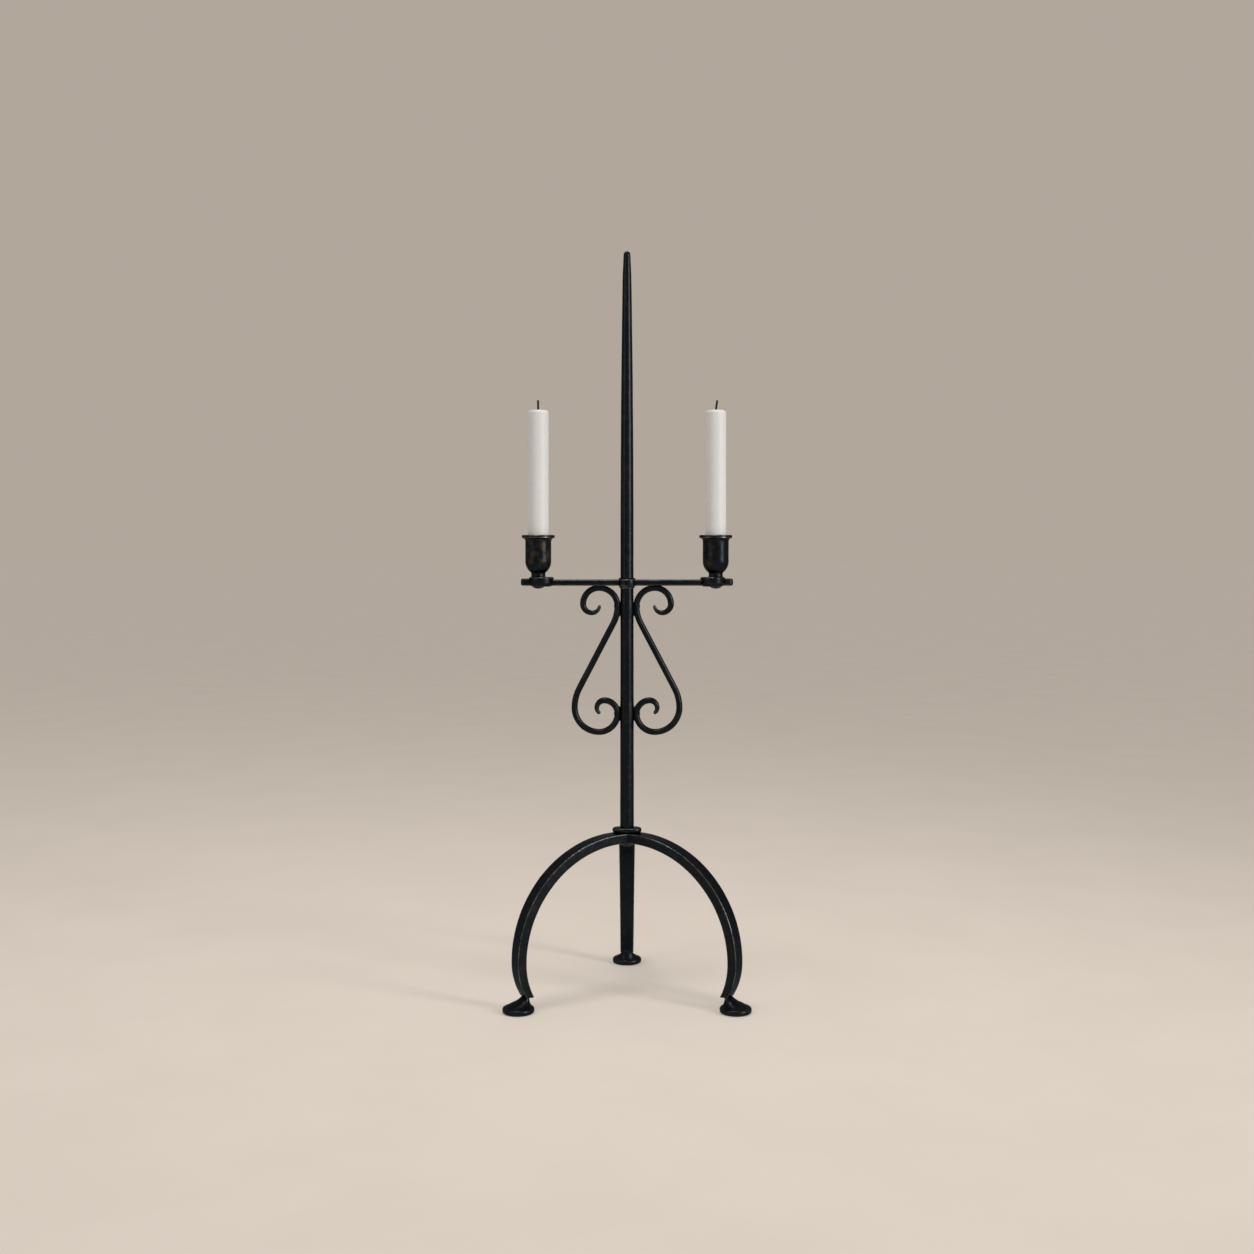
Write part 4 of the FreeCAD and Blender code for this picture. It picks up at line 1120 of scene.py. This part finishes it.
@dataclass
class Scrolls:
    """The C-scrolls of round rod on both sides of the stem, and the rivets across them."""

    rod_radius: float = 3.35
    rod_sides: int = 24
    crown: Point = (29.55, 0.0, 431.75)
    bar_under: float = 434.0
    outward: tuple[Curl, ...] = (Curl(17.0, -90.0), Curl(9.5, -90.0, 0.806), Curl(8.0, -80.0, 0.63))
    down: tuple[Curl, ...] = (Curl(19.5, 90.0), Curl(39.0, 27.6))
    slant_run: float = 77.945
    back_in: tuple[Curl, ...] = (
        Curl(43.5, -27.6), Curl(26.0, -90.0), Curl(19.5, -90.0), Curl(14.0, -90.0),
        Curl(8.0, -90.0, 0.776), Curl(6.5, -48.0, 0.788))
    step_degrees: float = 5.5
    joins: Pair = (298.45, 409.25)
    web: Point = (3.0, 2.7, 8.2)
    web_reach: float = 8.7
    marks: Marks = Marks(0.12, 9.0, 4.4)
    rivet_levels: Pair = (298.45, 412.25)
    rivet_seat: float = 12.9
    rivet_head: Pair = (2.7, 1.0)
    rivet_shank: float = 1.5

    def follow(self, rod: Sweep, heading: float, curls: tuple[Curl, ...]) -> float:
        """Bends a rod through a row of curls.

        Args:
            rod: The rod's end.
            heading: The way that it faces, in degrees from +X towards +Z.
            curls: The bends, in order.

        Returns:
            The way that it faces after them.
        """
        for curl in curls:
            inward = facing(heading + math.copysign(90.0, curl.degrees))
            centre = rod.middle() + curl.radius * inward
            parts = max(4, round(abs(curl.degrees) / self.step_degrees))
            rod.bend(centre, curl.degrees, parts, curl.taper)
            heading += curl.degrees
        return heading

    def rod_end(self, shape: Shape, heading: float) -> Sweep:
        """Starts a rod at the top of the crown, facing a heading."""
        spin = Matrix.Rotation(math.radians(90.0 - heading), 4, "Y")
        return shape.ring(self.rod_radius, self.rod_sides, Matrix.Translation(self.crown) @ spin)

    def tip(self, rod: Sweep, heading: float, curls: tuple[Curl, ...]) -> None:
        """Rounds off the thin end of a rod."""
        radius = self.rod_radius * math.prod(curl.taper for curl in curls)
        rod.ball(facing(heading), radius)

    def scroll(self, side: Side) -> None:
        """Bends one scroll, from the top of its crown to both of its ends.

        Args:
            side: The side of the stem that it is on.
        """
        shape = Shape()
        outer = self.rod_end(shape, 0.0)
        self.tip(outer, self.follow(outer, 0.0, self.outward), self.outward)
        inner = self.rod_end(shape, 180.0)
        heading = self.follow(inner, 180.0, self.down)
        inner.run(self.slant_run * facing(heading), 14)
        self.tip(inner, self.follow(inner, heading, self.back_in), self.back_in)
        shape.close()
        shape.cut((0.0, 0.0, self.bar_under), UP)
        for level in self.joins:
            there = Matrix.Translation((self.web_reach, 0.0, level)) @ Matrix.Diagonal((*self.web, 1.0))
            bmesh.ops.create_uvsphere(shape.mesh, u_segments=20, v_segments=14, radius=1.0, matrix=there)
        shape.hammer(self.marks, side.value)
        if side is Side.LEFT:
            shape.flip()
        shape.piece(f"scroll_{side.word}", "forged", IRON)

    def rivet(self, name: str, level: float) -> None:
        """Turns one rivet and lays it across both scrolls and the stem.

        Args:
            name: The node that it stands for.
            level: Its height.
        """
        shape = Shape()
        wide, high = self.rivet_head
        dome, lean = arched(wide, high)
        end = self.rivet_seat + high
        pen = Pen(shape, 0.0, -end).arc(0.0, dome - end, lean, 5)
        pen.line(self.rivet_shank, -self.rivet_seat).line(self.rivet_shank, self.rivet_seat)
        pen.line(wide, self.rivet_seat).arc(0.0, end - dome, lean, 5)
        shape.turn(self.rod_sides)
        shape.swing(90.0, "Y")
        shape.move(up=level)
        shape.piece(name, "heads", IRON)

    def build(self) -> None:
        """Makes both scrolls and the rivets across them."""
        for side in Side:
            self.scroll(side)
        for name, level in zip(("scroll_rivet_lower", "scroll_rivet_upper"), self.rivet_levels):
            self.rivet(name, level)


@dataclass
class Candles:
    """The two dinner candles with their burnt wicks, each free to lift out of its cup."""

    arm: float = 94.0
    radius: float = 11.0
    floor: float = 461.8
    top: float = 619.8
    shoulder: float = 3.2
    shoulder_turn: float = 78.0
    foot_edge: float = 0.5
    dimple: float = 0.6
    dimple_radius: float = 4.0
    dimple_middle: float = 1.8
    marks: Marks = Marks(0.1, 13.0, step=11.0)
    wick_radius: float = 1.2
    wick_height: float = 10.6
    wick_depth: float = 9.0
    wick_leans: Pair = (-1.0, 8.0)
    wick_tip: float = 0.7
    wick_sides: int = 30
    wick_parts: int = 26
    strands: int = 3
    lobe: float = 0.1
    twist: float = 17.0

    def wax(self, side: Side) -> None:
        """Turns one candle.

        Args:
            side: The arm that carries it.
        """
        shape = Shape()
        edge, flat = self.foot_edge, self.radius - self.shoulder
        pen = Pen(shape, 0.0, self.floor).line(self.radius - edge, self.floor, 3)
        pen.arc(self.radius - edge, self.floor + edge, 90.0, 3)
        pen.line(self.radius, self.top - self.shoulder, 40)
        pen.arc(flat, self.top - self.shoulder, self.shoulder_turn, 9)
        pen.line(self.dimple_radius, self.top, 2)
        pen.line(self.dimple_middle, self.top - self.dimple / 2)
        pen.line(0.0, self.top - self.dimple)
        shape.turn()
        shape.hammer(self.marks, side.value)
        shape.move(across=self.arm * side.value)
        shape.piece(f"candle_{side.word}", "wax", WAX, f"candle_{side.word}")

    def wick(self, side: Side) -> None:
        """Twists one wick out of its strands.

        Args:
            side: The candle that it is in.
        """
        shape = Shape()
        low = self.top - self.wick_depth
        rope = shape.ring(self.wick_radius, self.wick_sides, Matrix.Translation(low * UP))
        for vert in rope.ring:
            turn = math.atan2(vert.co.y, vert.co.x) * self.strands
            vert.co.xy *= 1.0 - self.lobe + self.lobe * math.cos(turn)
        rope.cap()
        rope.run((self.wick_depth - self.dimple) * UP, 4)
        stride = (self.wick_height + self.dimple) / self.wick_parts
        way = facing(90.0 - self.wick_leans[side is Side.RIGHT]) * stride
        spin = Matrix.Rotation(math.radians(self.twist), 4, "Z")
        for _ in range(self.wick_parts):
            rope.step(about(rope.middle(), spin, way))
        rope.resize(Vector((self.wick_tip, self.wick_tip, 1.0)))
        rope.cap()
        shape.close()
        shape.move(across=self.arm * side.value)
        shape.piece(f"wick_{side.word}", "cotton", WICK, f"candle_{side.word}")

    def build(self) -> None:
        """Makes both candles and their wicks."""
        for side in Side:
            self.wax(side)
            self.wick(side)


@dataclass(frozen=True)
class Lamp:
    """One soft light of the studio, in metres and watts."""

    name: str
    place: Point
    width: float
    height: float
    power: float
    spread: float = 150.0
    colour: Point = (1.0, 1.0, 1.0)

    def hang(self, target: Vector) -> None:
        """Hangs the lamp.

        Args:
            target: What it points at.
        """
        light = bpy.data.lights.new(self.name, "AREA")
        light.shape, light.size, light.size_y = "RECTANGLE", self.width, self.height
        light.energy, light.color = self.power, self.colour
        light.spread = math.radians(self.spread)
        lamp = bpy.data.objects.new(self.name, light)
        lamp.location = self.place
        lamp.rotation_euler = (target - Vector(self.place)).to_track_quat("-Z", "Y").to_euler()
        bpy.context.scene.collection.objects.link(lamp)


@dataclass
class Studio:
    """The floor, the lights and the camera, in metres."""

    floor_radius: float = 60.0
    target: Point = (0.0, -0.03, 0.36)
    lamps: tuple[Lamp, ...] = (
        Lamp("key_light", (2.55, -1.70, 1.10), 0.7, 1.5, 7.0, 60.0, (1.0, 0.98, 0.95)),
        Lamp("fill_light", (-2.1, -1.6, 1.2), 1.0, 1.6, 2.5, 100.0, (0.95, 0.97, 1.0)),
        Lamp("top_light", (-0.15, -0.45, 2.3), 0.7, 0.5, 10.5),
    )
    camera_place: Point = (0.0, -1.644269, 0.4677)
    camera_pitch: float = 0.391
    lens: float = 43.682
    sensor: float = 36.0
    shift: float = -0.05

    def lay_floor(self) -> None:
        """Lays a round floor that runs on far behind the object."""
        shape = Shape()
        bmesh.ops.create_circle(shape.mesh, cap_ends=True, radius=self.floor_radius, segments=96)
        floor = shape.show("floor", PaleFloor())

    def light(self) -> None:
        """Sets the sky and hangs the lamps."""
        scene = bpy.context.scene
        scene.view_settings.view_transform = "Standard"
        scene.world = bpy.data.worlds.new("studio")
        scene.world.use_nodes = True
        scene.world.node_tree.nodes["Background"].inputs["Color"].default_value = SKY
        for lamp in self.lamps:
            lamp.hang(Vector(self.target))

    def set_camera(self) -> None:
        """Sets the camera in front of the object, tipped slightly down."""
        lens = bpy.data.cameras.new("camera")
        lens.sensor_width, lens.lens, lens.shift_y = self.sensor, self.lens, self.shift
        camera = bpy.data.objects.new("camera", lens)
        camera.location = self.camera_place
        camera.rotation_euler = (math.radians(90.0 - self.camera_pitch), 0.0, 0.0)
        bpy.context.scene.collection.objects.link(camera)
        bpy.context.scene.camera = camera

    def build(self) -> None:
        """Lays the floor, hangs the lights and sets the camera."""
        self.lay_floor()
        self.light()
        self.set_camera()


def main() -> None:
    """Builds every sub-assembly in order."""
    logging.basicConfig(level=logging.INFO, format="%(message)s", stream=sys.stdout)
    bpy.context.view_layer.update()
    for part in (Studio(), Stem(), Hub(), Tripod(), CrossBar(), Cups(), Scrolls(), Candles()):
        part.build()


if __name__ == "__main__":
    main()
